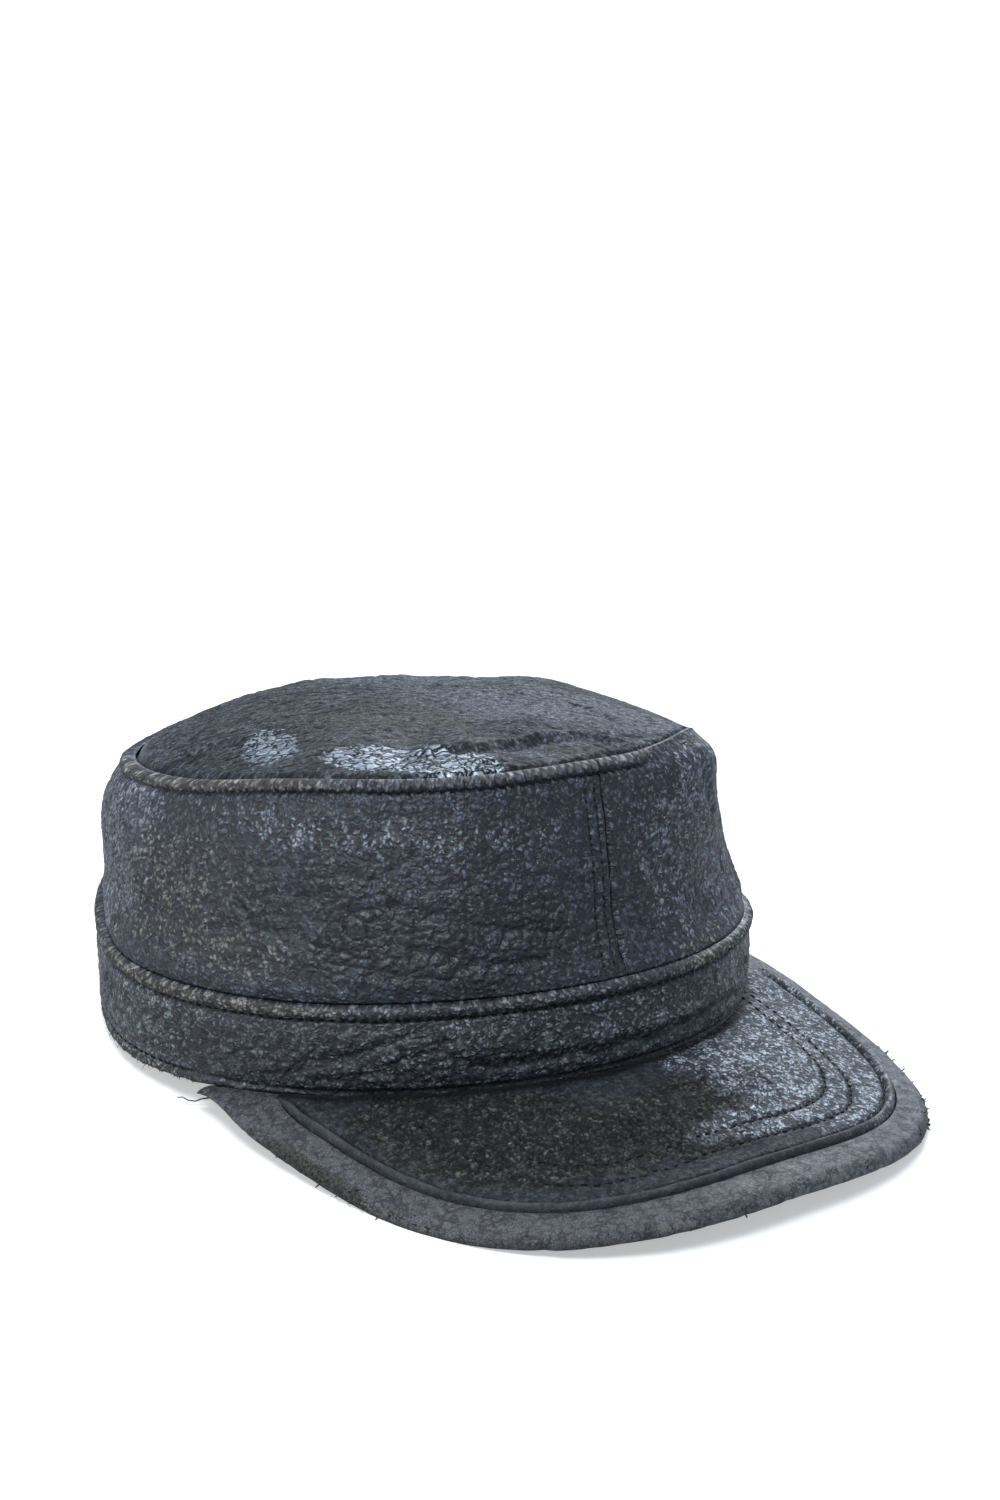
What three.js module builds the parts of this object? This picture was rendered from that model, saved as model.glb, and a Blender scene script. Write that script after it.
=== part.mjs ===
// A worn leather infantry cap: an oval tip over two side panels, a band, and a peak bound with an edge strip.
// Millimetres. +Z is up, the front of the cap points along -Y and the wearer's left is +X.
// The pieces are shaped in the cap's own frame: its origin is the centre of the band's lower edge.
// The whole cap then leans back as it lies by itself, on the back of the band and the sides of the peak.
import * as THREE from 'three';
import { mergeVertices } from 'three/addons/utils/BufferGeometryUtils.js';

// How the cap lies
const LEAN_BACK = THREE.MathUtils.degToRad(5.3);
const LIFT = 6.2;
const CENTRE_SHIFT_X = -3.2;
const CENTRE_SHIFT_Y = 28.5;

// Leather and the gaps at the seams
const SEAM_GAP = 0.3;
const WALL_LEATHER = 1.5;
const TIP_LEATHER = 1.6;
const BAND_LEATHER = 2.4;

// Band
const BAND_HEIGHT = 26.4;
const BAND_EDGE_SWAY = 2.4;

// Tip
const TIP_CENTRE_Y = 3;
const TIP_DOME = 12.6;
const TIP_DOME_POWER = 2.2;
const TIP_INSET = 0.5;

// The front seam runs down towards the wearer's right
const FRONT_SEAM_DRIFT = THREE.MathUtils.degToRad(-1.5);

// Peak: its outline and its ridge seam are superellipses round one centre in the cap's plan, with one
// half width to the wearer's right and one to the left. The ends droop to the band's edge at the temples.
const PEAK_CENTRE_X = 0.8;
const PEAK_CENTRE_Y = -31;
const PEAK_OUTLINE = { right: 96.0, left: 101.4, length: 126.4, power: 2.72 };
const PEAK_RIDGE = { right: 87.0, left: 92.8, length: 116.4, power: 2.87 };
const RIDGE_TUCK = 95;
const RIDGE_TUCK_FROM = THREE.MathUtils.degToRad(66);
const PEAK_ROOT_Y = -96;
const PEAK_ROOT_HEIGHT = 4.24;
const PEAK_FALL = 0.2284;
const PEAK_CAMBER = 0.00177;
const PEAK_DROOP = { right: 0.0033, left: 0, from: -80 };
const PEAK_THICKNESS = 4.8;
const PEAK_END = THREE.MathUtils.degToRad(89);
const PEAK_END_TAPER = THREE.MathUtils.degToRad(15);
const PEAK_END_WIDTH = 3.0;
const PEAK_TOP_LEATHER = 1.5;
const EDGE_LEATHER = 1.3;
const EDGE_TURN_UNDER = 12;
const PEAK_TO_BAND = 0.5;
const TOP_END = THREE.MathUtils.degToRad(77);
const UNDERSIDE_END = THREE.MathUtils.degToRad(80);

// The crown's sections round the head, from the back by the wearer's right to the front and on by the left.
// Radii are from the cap's axis (band) and the tip's centre (seam); low and high are how far the wall
// stands out at a third and at two thirds of its height. The front left is pushed in and the back sags.
const CROWN_SECTIONS = [
  { angle: -180, band: 97.5, seam: 85.5, height: 64.3, low: 0.2, high: 3.6 },
  { angle: -150, band: 91.3, seam: 81.0, height: 63.4, low: -0.6, high: 5.0 },
  { angle: -120, band: 87.8, seam: 76.0, height: 67.1, low: -1.0, high: 4.4 },
  { angle: -90, band: 93.3, seam: 73.8, height: 72.2, low: -0.5, high: 2.6 },
  { angle: -60, band: 95.5, seam: 79.0, height: 80.0, low: 0.0, high: 1.8 },
  { angle: -30, band: 95.8, seam: 83.4, height: 83.2, low: -0.5, high: 2.0 },
  { angle: 0, band: 96.6, seam: 81.6, height: 83.6, low: -3.0, high: 1.7 },
  { angle: 30, band: 97.0, seam: 84.9, height: 81.0, low: -6.4, high: 3.4 },
  { angle: 60, band: 96.4, seam: 80.7, height: 75.2, low: -0.4, high: 0.2 },
  { angle: 90, band: 92.3, seam: 78.0, height: 73.0, low: -0.3, high: 1.8 },
  { angle: 120, band: 88.8, seam: 79.6, height: 68.5, low: 0.0, high: 2.9 },
  { angle: 150, band: 92.0, seam: 84.4, height: 65.6, low: 0.0, high: 3.4 },
];
const SECTION_STEP = 30;

// Soft folds and hollows of the tip, in the cap's plan: centre, half sizes along and across, turn, rise
const TIP_FOLDS = [
  { x: -8, y: -52, along: 30, across: 9, turn: 20, rise: 2.4 },
  { x: -30, y: -38, along: 26, across: 7, turn: 35, rise: -1.8 },
  { x: 24, y: 28, along: 34, across: 20, turn: -30, rise: -2.2 },
  { x: 52, y: 4, along: 30, across: 20, turn: 60, rise: 2.4 },
];

// Soft waves of the peak, in the same terms
const PEAK_WAVES = [
  { x: -82, y: -105, along: 28, across: 28, turn: 0, rise: -1.4 },
  { x: -45, y: -150, along: 30, across: 14, turn: 10, rise: 0.6 },
];

// Band section: height up from the lower edge or down from the upper edge, and how far it stands out
const BAND_PROFILE = [
  { up: 0, out: -0.7 },
  { up: 0.9, out: 0.1 },
  { up: 3.0, out: -0.3 },
  { up: 4.6, out: 0.1 },
  { up: 13.0, out: 0.5 },
  { down: 5.4, out: 0.1 },
  { down: 4.0, out: -0.5 },
  { down: 3.0, out: 0.7 },
  { down: 1.6, out: 1.1 },
  { down: 0.5, out: 0.6 },
  { down: 0, out: -0.6 },
];

// Side panel section, read in the same way: tucked in over the band, and a welt under the crown seam
const WALL_PROFILE = [
  { up: 0, out: -1.2 },
  { up: 2.2, out: -0.4 },
  { up: 6.0, out: 0 },
  { up: 12.0, out: 0 },
  { up: 18.0, out: 0 },
  { down: 13.0, out: 0 },
  { down: 7.5, out: 0 },
  { down: 4.4, out: 0.1 },
  { down: 3.4, out: -0.4 },
  { down: 2.4, out: 0.6 },
  { down: 1.0, out: 0.7 },
  { down: 0, out: -0.1 },
];

// Top leather of the peak, inwards from the ridge seam: distance and rise above the smooth surface
const RIDGE_PROFILE = [
  { inwards: 0.15, rise: -0.6 },
  { inwards: 0.9, rise: 0.7 },
  { inwards: 2.0, rise: 1.1 },
  { inwards: 3.1, rise: 0.6 },
  { inwards: 4.0, rise: -0.4 },
  { inwards: 5.6, rise: 0 },
];

const RIDGE_WIDTH = RIDGE_PROFILE.at(-1).inwards;
const FIELD_LEAST = 1;

const leather = (hex, roughness) => new THREE.MeshStandardMaterial({ color: hex, roughness, metalness: 0 });
const radians = THREE.MathUtils.degToRad;

// One column of the section table at any angle, by a smooth curve that closes on itself
function around(column, angle) {
  const count = CROWN_SECTIONS.length;
  const turns = (THREE.MathUtils.radToDeg(angle) + 180) / SECTION_STEP;
  const first = Math.floor(turns);
  const f = turns - first;
  const [a, b, c, d] = [-1, 0, 1, 2].map((k) => CROWN_SECTIONS[(first + k + count) % count][column]);
  return 0.5 * (2 * b + (c - a) * f + (2 * a - 5 * b + 4 * c - d) * f * f + (3 * b - a - 3 * c + d) * f ** 3);
}

// Height of the band's lower edge: it dips at the temples
const bandEdge = (angle) => BAND_EDGE_SWAY * Math.cos(2 * angle);

// Lays a point of the cap's frame down on the table; leather that would sink in is flattened
function lie([x, y, z]) {
  const back = y * Math.cos(LEAN_BACK) + z * Math.sin(LEAN_BACK);
  const up = z * Math.cos(LEAN_BACK) - y * Math.sin(LEAN_BACK);
  return [x + CENTRE_SHIFT_X, back + CENTRE_SHIFT_Y, Math.max(up + LIFT, 0)];
}

// A closed sheet: face and back are its two sides over a grid of columns and rows, joined round the border
function sheet(columns, rows, face, back, isRing = false) {
  const count = columns.length;
  const positions = [];
  for (const side of [face, back]) {
    for (const u of columns) {
      for (const v of rows) positions.push(...lie(side(u, v)));
    }
  }
  const at = (side, i, j) => (side * count + (i % count)) * rows.length + j;
  const triangles = [];
  const quad = (a, b, c, d) => triangles.push([a, b, c], [a, c, d]);
  const spans = isRing ? count : count - 1;
  const last = rows.length - 1;
  for (let i = 0; i < spans; i++) {
    for (let j = 0; j < last; j++) {
      quad(at(0, i, j), at(0, i + 1, j), at(0, i + 1, j + 1), at(0, i, j + 1));
      quad(at(1, i, j + 1), at(1, i + 1, j + 1), at(1, i + 1, j), at(1, i, j));
    }
    quad(at(1, i, 0), at(1, i + 1, 0), at(0, i + 1, 0), at(0, i, 0));
    quad(at(0, i, last), at(0, i + 1, last), at(1, i + 1, last), at(1, i, last));
  }
  if (!isRing) {
    for (let j = 0; j < last; j++) {
      quad(at(0, 0, j), at(0, 0, j + 1), at(1, 0, j + 1), at(1, 0, j));
      quad(at(1, spans, j), at(1, spans, j + 1), at(0, spans, j + 1), at(0, spans, j));
    }
  }
  return closedBody(positions, triangles);
}

// Merges equal points, drops triangles that closed up and turns the faces outwards
function closedBody(positions, triangles) {
  let geometry = new THREE.BufferGeometry();
  geometry.setAttribute('position', new THREE.Float32BufferAttribute(positions, 3));
  geometry.setIndex(triangles.flat());
  geometry = mergeVertices(geometry, 1e-4);
  const index = geometry.index.array;
  const point = (k) => new THREE.Vector3().fromBufferAttribute(geometry.attributes.position, k);
  const kept = [];
  let volume = 0;
  for (let k = 0; k < index.length; k += 3) {
    const [a, b, c] = index.slice(k, k + 3);
    if (a === b || b === c || c === a) continue;
    kept.push([a, b, c]);
    volume += point(a).dot(point(b).cross(point(c)));
  }
  geometry.setIndex((volume < 0 ? kept.map(([a, b, c]) => [a, c, b]) : kept).flat());
  return geometry;
}

const evenly = (from, to, spans) => Array.from({ length: spans + 1 }, (_, i) => from + ((to - from) * i) / spans);
const heightOf = (row, height) => (row.down === undefined ? row.up : height - row.down);

// Band: one ring of leather with a stitched hem below and a rolled rib above
function band() {
  const side = (angle, out, z) => {
    const radius = around('band', angle) + out;
    return [radius * Math.sin(angle), -radius * Math.cos(angle), z + bandEdge(angle)];
  };
  const columns = evenly(-Math.PI, Math.PI, 60).slice(0, -1);
  const face = (angle, row) => side(angle, row.out, heightOf(row, BAND_HEIGHT));
  const back = (angle, row) => side(angle, -BAND_LEATHER, heightOf(row, BAND_HEIGHT));
  return sheet(columns, BAND_PROFILE, face, back, true);
}

// Outer side of the crown's wall: part runs from 0 at the band to 1 at the crown seam
const BULGE_SCALE = 27 / 4; // brings the highest point of part (1 - part)^2 to 1
function wall(angle, part, out) {
  const low = around('low', angle) * BULGE_SCALE * part * (1 - part) ** 2;
  const high = around('high', angle) * BULGE_SCALE * part ** 2 * (1 - part);
  const radius = THREE.MathUtils.lerp(around('band', angle), around('seam', angle), part) + low + high + out;
  const foot = BAND_HEIGHT + bandEdge(angle) + SEAM_GAP;
  const head = around('height', angle) - TIP_LEATHER - SEAM_GAP;
  return [
    radius * Math.sin(angle),
    -radius * Math.cos(angle) + TIP_CENTRE_Y * part,
    THREE.MathUtils.lerp(foot, head, part),
  ];
}

// Side panel between the front and back seams; side is -1 for the wearer's right and 1 for the left
function sidePanel(side) {
  const seam = SEAM_GAP / (2 * CROWN_SECTIONS[0].band);
  const columns = evenly(seam, Math.PI - seam, 30).map((turn) => side * turn);
  const section = (turn, row, out) => {
    const foot = BAND_HEIGHT + bandEdge(turn) + SEAM_GAP;
    const height = around('height', turn) - TIP_LEATHER - SEAM_GAP - foot;
    const part = heightOf(row, height) / height;
    const drift = FRONT_SEAM_DRIFT * (1 - part) * (1 - Math.abs(turn) / Math.PI);
    return wall(turn + drift, part, out);
  };
  const face = (turn, row) => section(turn, row, row.out);
  const back = (turn, row) => section(turn, row, Math.min(row.out, 0) - WALL_LEATHER);
  return sheet(columns, WALL_PROFILE, face, back);
}

// Top side of the tip: part runs from 0 at its centre to 1 at the crown seam
function tipTop(angle, part) {
  const radius = (around('seam', angle) - TIP_INSET) * part;
  const x = radius * Math.sin(angle);
  const y = -radius * Math.cos(angle) + TIP_CENTRE_Y;
  const middle = CROWN_SECTIONS.reduce((sum, row) => sum + row.height, 0) / CROWN_SECTIONS.length;
  const rim = middle + (around('height', angle) - middle) * part ** 2;
  const soft = 1 - part ** 6;
  const folds = TIP_FOLDS.reduce((sum, fold) => sum + foldAt(fold, x, y), 0);
  return [x, y, rim + TIP_DOME * (1 - part ** TIP_DOME_POWER) + folds * soft];
}

function foldAt(fold, x, y) {
  const turn = radians(fold.turn);
  const along = (x - fold.x) * Math.cos(turn) + (y - fold.y) * Math.sin(turn);
  const across = (y - fold.y) * Math.cos(turn) - (x - fold.x) * Math.sin(turn);
  return fold.rise * Math.exp(-((along / fold.along) ** 2) - (across / fold.across) ** 2);
}

function tip() {
  const columns = evenly(-Math.PI, Math.PI, 44).slice(0, -1);
  const rows = [1, 0.97, 0.91, 0.82, 0.72, 0.61, 0.5, 0.38, 0.26, 0.13, 0];
  const back = (angle, part) => {
    const [x, y, z] = tipTop(angle, part);
    return [x, y, z - TIP_LEATHER];
  };
  return sheet(columns, rows, tipTop, back, true);
}

// Smooth top surface of the peak over the plan
function peakSurface(x, y) {
  const droop = (x < 0 ? PEAK_DROOP.right : PEAK_DROOP.left) * Math.max(y - PEAK_DROOP.from, 0) ** 2;
  const waves = PEAK_WAVES.reduce((sum, wave) => sum + foldAt(wave, x, y), 0);
  return PEAK_ROOT_HEIGHT - PEAK_FALL * (PEAK_ROOT_Y - y) - PEAK_CAMBER * x * x - droop + waves;
}

// Distance from the peak's centre to an outline, in a direction measured from the front
function reach({ right, left, length, power }, direction) {
  const across = Math.abs(Math.sin(direction) / (direction < 0 ? right : left)) ** power;
  const ahead = Math.abs(Math.cos(direction) / length) ** power;
  return (across + ahead) ** (-1 / power);
}

// Distance to the ridge seam, which is tucked in at the wearer's right temple
function ridgeReach(direction) {
  const turned = Math.max(-direction - RIDGE_TUCK_FROM, 0);
  return reach(PEAK_RIDGE, direction) - RIDGE_TUCK * turned ** 2;
}

// Distance from the peak's centre to the outside of the band
function bandReach(direction) {
  let near = 0;
  let far = PEAK_OUTLINE.length;
  while (far - near > 1e-4) {
    const middle = (near + far) / 2;
    const [x, y] = peakPlan(direction, middle);
    if (Math.hypot(x, y) < around('band', Math.atan2(x, -y)) + PEAK_TO_BAND) near = middle;
    else far = middle;
  }
  return far;
}

// The peak's outline, drawn in to the band at the temples
function rimReach(direction, band) {
  const outline = reach(PEAK_OUTLINE, direction);
  const end = Math.max(Math.abs(direction) - PEAK_END + PEAK_END_TAPER, 0) / PEAK_END_TAPER;
  return THREE.MathUtils.lerp(outline, band + PEAK_END_WIDTH, end ** 3);
}

const peakPlan = (direction, distance) => [
  PEAK_CENTRE_X + distance * Math.sin(direction),
  PEAK_CENTRE_Y - distance * Math.cos(direction),
];

function peakPoint(direction, distance, depth) {
  const [x, y] = peakPlan(direction, distance);
  return [x, y, peakSurface(x, y) - depth];
}

// Top leather of the peak, from the band to the ridge beside the edge strip's seam
function peakTop() {
  const directions = evenly(-TOP_END, TOP_END, 36);
  const field = [0.75, 0.5, 0.25, 0].map((part) => ({ part, rise: 0 }));
  const rows = [...RIDGE_PROFILE, ...field];
  const distanceOf = (direction, row) => {
    const band = bandReach(direction);
    const seam = ridgeReach(direction);
    const squeeze = Math.min((seam - band - FIELD_LEAST) / RIDGE_WIDTH, 1);
    if (row.part !== undefined) return THREE.MathUtils.lerp(band, seam - RIDGE_WIDTH * squeeze, row.part);
    return seam - row.inwards * squeeze;
  };
  const face = (direction, row) => peakPoint(direction, distanceOf(direction, row), -row.rise);
  const back = (direction, row) => peakPoint(direction, distanceOf(direction, row), PEAK_TOP_LEATHER);
  return sheet(directions, rows, face, back);
}

// Edge strip: bound over the rim, from the ridge seam round to the underside
function peakEdge() {
  const directions = evenly(-PEAK_END, PEAK_END, 44);
  const half = PEAK_THICKNESS / 2;
  const steps = [
    { top: 1 }, { top: 0.72 }, { top: 0.4 }, { top: 0.12 },
    ...[90, 50, 15, -15, -50, -90].map((turn) => ({ turn })),
    { under: 0.35 }, { under: 1 },
  ];
  const section = (direction, step, thick) => {
    const band = bandReach(direction);
    const rim = rimReach(direction, band) - half;
    const inner = Math.max(ridgeReach(direction) + SEAM_GAP / 2, band);
    if (step.top !== undefined) return peakPoint(direction, rim + (inner - rim) * step.top, thick);
    if (step.under !== undefined) {
      const leg = Math.min(EDGE_TURN_UNDER, rim - band);
      return peakPoint(direction, rim - leg * step.under, PEAK_THICKNESS - thick);
    }
    const turn = radians(step.turn);
    return peakPoint(direction, rim + (half - thick) * Math.cos(turn), half - (half - thick) * Math.sin(turn));
  };
  const face = (direction, step) => section(direction, step, 0);
  const back = (direction, step) => section(direction, step, EDGE_LEATHER);
  return sheet(directions, steps, face, back);
}

// Underside of the peak: one plain stiff layer inside the edge strip
function peakUnderside() {
  const directions = evenly(-UNDERSIDE_END, UNDERSIDE_END, 36);
  const rows = evenly(0, 1, 5);
  const upper = PEAK_TOP_LEATHER + SEAM_GAP;
  const lower = PEAK_THICKNESS - EDGE_LEATHER - 2 * SEAM_GAP;
  const distanceOf = (direction, part) => {
    const band = bandReach(direction);
    const rim = rimReach(direction, band) - PEAK_THICKNESS / 2;
    return THREE.MathUtils.lerp(band, rim, part);
  };
  const face = (direction, part) => peakPoint(direction, distanceOf(direction, part), upper);
  const back = (direction, part) => peakPoint(direction, distanceOf(direction, part), lower);
  return sheet(directions, rows, face, back);
}

const cap = new THREE.Group();
function add(name, geometry, material) {
  const mesh = new THREE.Mesh(geometry, material);
  mesh.name = name;
  cap.add(mesh);
}

const black = leather(0x24272b, 0.6);
const abraded = leather(0x2f302c, 0.8);
const edging = leather(0x3a3b3a, 0.65);
add('crown_tip', tip(), abraded);
add('side_panel_right', sidePanel(-1), black);
add('side_panel_left', sidePanel(1), black);
add('band', band(), black);
add('peak_top', peakTop(), abraded);
add('peak_edge_strip', peakEdge(), edging);
add('peak_underside', peakUnderside(), black);

export default cap;
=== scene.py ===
import bpy
import math
import numpy as np
from mathutils import Matrix


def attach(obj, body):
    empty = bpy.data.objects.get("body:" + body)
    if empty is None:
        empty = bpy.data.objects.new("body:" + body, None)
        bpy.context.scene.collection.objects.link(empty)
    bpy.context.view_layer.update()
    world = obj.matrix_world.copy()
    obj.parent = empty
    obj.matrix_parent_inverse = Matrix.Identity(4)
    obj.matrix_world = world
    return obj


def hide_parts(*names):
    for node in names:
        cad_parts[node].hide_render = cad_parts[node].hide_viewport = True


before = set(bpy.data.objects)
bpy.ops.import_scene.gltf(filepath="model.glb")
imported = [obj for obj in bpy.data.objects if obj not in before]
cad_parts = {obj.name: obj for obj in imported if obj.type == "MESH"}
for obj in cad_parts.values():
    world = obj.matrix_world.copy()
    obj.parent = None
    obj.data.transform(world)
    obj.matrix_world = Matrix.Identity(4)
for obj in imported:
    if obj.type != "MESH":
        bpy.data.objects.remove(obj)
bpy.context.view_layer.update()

# Band: one strip of thick pebbled cowhide round the head, its ends sewn together at the back. The lower
# edge is cut raw and topstitched, and the upper edge is rolled over a cord into a rib below the wall.
# Sizes are in millimetres in the cap's own frame, whose origin is the centre of the band's lower edge.
LEAN_BACK = math.radians(5.3)
LIFT = 6.2
CENTRE_SHIFT = (-3.2, 28.5)
BAND_HEIGHT = 26.4
BAND_LEATHER = 2.4
BAND_RADIUS = (97.5, 91.3, 87.8, 93.3, 95.5, 95.8, 96.6, 97.0, 96.4, 92.3, 88.8, 92.0)
HEM_SWAY = 2.4
MM_PER_DEGREE = 1.6
FLAT_UNITS_PER_MM = 0.01
RIB_MIDDLE = 24.4
RIB_ROW = 22.2
HEM_ROW = 3.1
BAND_COLUMNS = 1200
PEAK_HALF_TURN = 71
PEAK_ROOT = 4.24
PEAK_SLOPE = 0.2284
PEAK_ARCH = 0.00177
PEAK_DROOP = 0.0033
SLOPE_FROM_Y = -96
DROOP_FROM_Y = -80
BAND_OUTER = {
    "height": (0, 0.5, 1.2, 2.2, 3.1, 4.0, 5.2, 13, 20.2, 21.6, 22.2, 22.8, 23.6, 24.6, 25.5, 26.1, 26.4),
    "out": (-0.9, -0.1, 0.15, 0.1, -0.55, 0.05, 0.15, 0.5, 0.2, -0.2, -0.75, 0.2, 0.95, 1.15, 0.8, 0.0, -1.0),
}


def round_the_head(sizes, angle):
    """Sizes taken every 30 degrees from the back, by the wearer's right, joined by a smooth closed curve."""
    sizes = np.asarray(sizes, float)
    turns = np.degrees(angle) / 30 + 6
    first = np.floor(turns).astype(int)
    f = turns - first
    a, b, c, d = (sizes[(first + k) % 12] for k in (-1, 0, 1, 2))
    return 0.5 * (2 * b + (c - a) * f + (2 * a - 5 * b + 4 * c - d) * f**2 + (3 * b - a - 3 * c + d) * f**3)


def hem_height(angle):
    return HEM_SWAY * np.cos(2 * angle)


def lay_down(points):
    """The cap leaning back on the table, in metres."""
    x, y, z = np.moveaxis(np.asarray(points, float), -1, 0)
    back = y * math.cos(LEAN_BACK) + z * math.sin(LEAN_BACK) + CENTRE_SHIFT[1]
    up = z * math.cos(LEAN_BACK) - y * math.sin(LEAN_BACK) + LIFT
    return np.stack([x + CENTRE_SHIFT[0], back, np.maximum(up, 0)], -1) * 0.001


def follow(places, values, where):
    """A smooth line through the values at the given places."""
    places, values = np.asarray(places, float), np.asarray(values, float)
    slopes = np.gradient(values, places)
    k = np.clip(np.searchsorted(places, where) - 1, 0, len(places) - 2)
    step = places[k + 1] - places[k]
    t = np.clip((where - places[k]) / step, 0, 1)
    start = (1 + 2 * t) * (1 - t) ** 2 * values[k] + t * (1 - t) ** 2 * step * slopes[k]
    end = t**2 * (3 - 2 * t) * values[k + 1] + t**2 * (t - 1) * step * slopes[k + 1]
    return start + end


def rumple(points, size, seed):
    """Smooth uneven values from -1 to 1 that change over about the given size."""
    p = np.asarray(points, float) / size + 13.7 * seed
    cell = np.floor(p).astype(np.int64)
    f = p - cell
    blend = f**3 * (f * (f * 6 - 15) + 10)
    total = np.zeros(p.shape[:-1])
    for corner in np.ndindex(*(2,) * p.shape[-1]):
        weight = np.ones(p.shape[:-1])
        mixed = np.full(p.shape[:-1], 374761393 * (seed + 1), np.int64)
        for axis, side in enumerate(corner):
            weight *= blend[..., axis] if side else 1 - blend[..., axis]
            mixed = (mixed ^ ((cell[..., axis] + side) * (73856093 + 19349663 * axis))) & 0x7FFFFFFF
            mixed = (mixed * 1103515245 + 12345) & 0x7FFFFFFF
        total += weight * ((mixed >> 7) % 20001 / 10000 - 1)
    return total


def near_line(u, v, line):
    """Distance from each place to a line drawn through corner points."""
    nearest = np.full(u.shape, 1e9)
    for (u0, v0), (u1, v1) in zip(line[:-1], line[1:]):
        length = (u1 - u0) ** 2 + (v1 - v0) ** 2
        t = np.clip(((u - u0) * (u1 - u0) + (v - v0) * (v1 - v0)) / length, 0, 1)
        nearest = np.minimum(nearest, np.hypot(u - u0 - t * (u1 - u0), v - v0 - t * (v1 - v0)))
    return nearest


def from_degrees(creases):
    """Creases drawn in degrees round the head, with their places in millimetres along the leather."""
    drawn = []
    for line, depth, width in creases:
        drawn.append((tuple((u * MM_PER_DEGREE, v) for u, v in line), depth, width))
    return drawn


def creased(u, v, creases):
    """Relief of folds pressed into the leather: a valley with soft shoulders, or a raised fold where the
    depth is below nought."""
    relief = np.zeros(u.shape)
    for line, depth, width in creases:
        d = near_line(u, v, line) / width
        relief += depth * (0.45 * np.exp(-(((d - 1.9) / 1.1) ** 2)) - np.exp(-(d**2)))
    return relief


def puffs(u, v, width, height, cut, seed):
    """Rounded swellings with sharp creases between them, as in old grained hide: how high each place stands,
    from 0 down in the creases to 1 on top, and how much painted shade lies on the lines between them, which
    are of the width cut."""
    p, q = u / width, v / height
    near, second = np.full(p.shape, 9.0), np.full(p.shape, 9.0)
    for i, j in np.ndindex(3, 3):
        a = np.floor(p).astype(np.int64) + i - 1
        b = np.floor(q).astype(np.int64) + j - 1
        mixed = (a * 73856093 ^ b * 19349663 ^ seed * 83492791) & 0x7FFFFFFF
        mixed = (mixed * 1103515245 + 12345) & 0x7FFFFFFF
        to_p = a + 0.1 + (mixed >> 9) % 800 / 1000 - p
        mixed = (mixed * 1103515245 + 12345) & 0x7FFFFFFF
        to_q = b + 0.1 + (mixed >> 9) % 800 / 1000 - q
        away = np.hypot(to_p, to_q)
        second = np.minimum(second, np.maximum(near, away))
        near = np.minimum(near, away)
    border = np.clip((second - near) / 0.45, 0, 1)
    return 1 - (1 - border) ** 2, np.exp(-(((second - near) * height / cut) ** 2))


def chance_creases(seed, count, u_range, v_range, lean, length, depth, width):
    """Short wrinkles scattered over a stretch of leather, running mostly one way."""
    chance = np.random.default_rng(seed)
    creases = []
    for _ in range(count):
        u, v = chance.uniform(*u_range), chance.uniform(*v_range)
        turn = math.radians(lean + chance.normal(0, 18))
        half = 0.5 * length * chance.uniform(0.5, 1.4)
        bend = chance.normal(0, 0.12) * half
        du, dv = half * math.cos(turn), half * math.sin(turn)
        line = ((u - du, v - dv), (u - bend * math.sin(turn), v + bend * math.cos(turn)), (u + du, v + dv))
        creases.append((line, depth * chance.uniform(0.5, 1.3), width * chance.uniform(0.7, 1.4)))
    return creases


def along_and_across(x, y, cx, cy, turn):
    """Distances from a centre, along and across a direction in degrees."""
    a = math.radians(turn)
    p = (x - cx) * math.cos(a) + (y - cy) * math.sin(a)
    q = (y - cy) * math.cos(a) - (x - cx) * math.sin(a)
    return p, q


def spots(x, y, places):
    """A mask of soft oval spots: centre, half sizes along and across, turn in degrees, and strength."""
    mask = np.zeros(np.shape(x))
    for cx, cy, along, across, turn, strength in places:
        p, q = along_and_across(x, y, cx, cy, turn)
        mask = np.maximum(mask, strength * np.exp(-(((p / along) ** 2 + (q / across) ** 2) ** 1.5)))
    return mask


def swells(x, y, places):
    """Broad soft rises and hollows: centre, half sizes along and across, turn in degrees, and height."""
    height = 0
    for cx, cy, along, across, turn, rise in places:
        p, q = along_and_across(x, y, cx, cy, turn)
        height = height + rise * np.exp(-((p / along) ** 2) - (q / across) ** 2)
    return height


def peak_slope(x, y):
    """Height of the peak's top: it slopes down to the front, is arched across, and droops at the
    wearer's right temple."""
    droop = np.where(x < 0, PEAK_DROOP, 0) * np.maximum(y - DROOP_FROM_Y, 0) ** 2
    return PEAK_ROOT - PEAK_SLOPE * (SLOPE_FROM_Y - y) - PEAK_ARCH * x * x - droop


def outwards(points, ring):
    """Directions straight out of a surface given as columns and rows of points."""
    if ring:
        around = np.roll(points, -1, 0) - np.roll(points, 1, 0)
    else:
        around = np.gradient(points, axis=0)
    out = np.cross(around, np.gradient(points, axis=1))
    return out / np.maximum(np.linalg.norm(out, axis=-1, keepdims=True), 1e-9)


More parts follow.
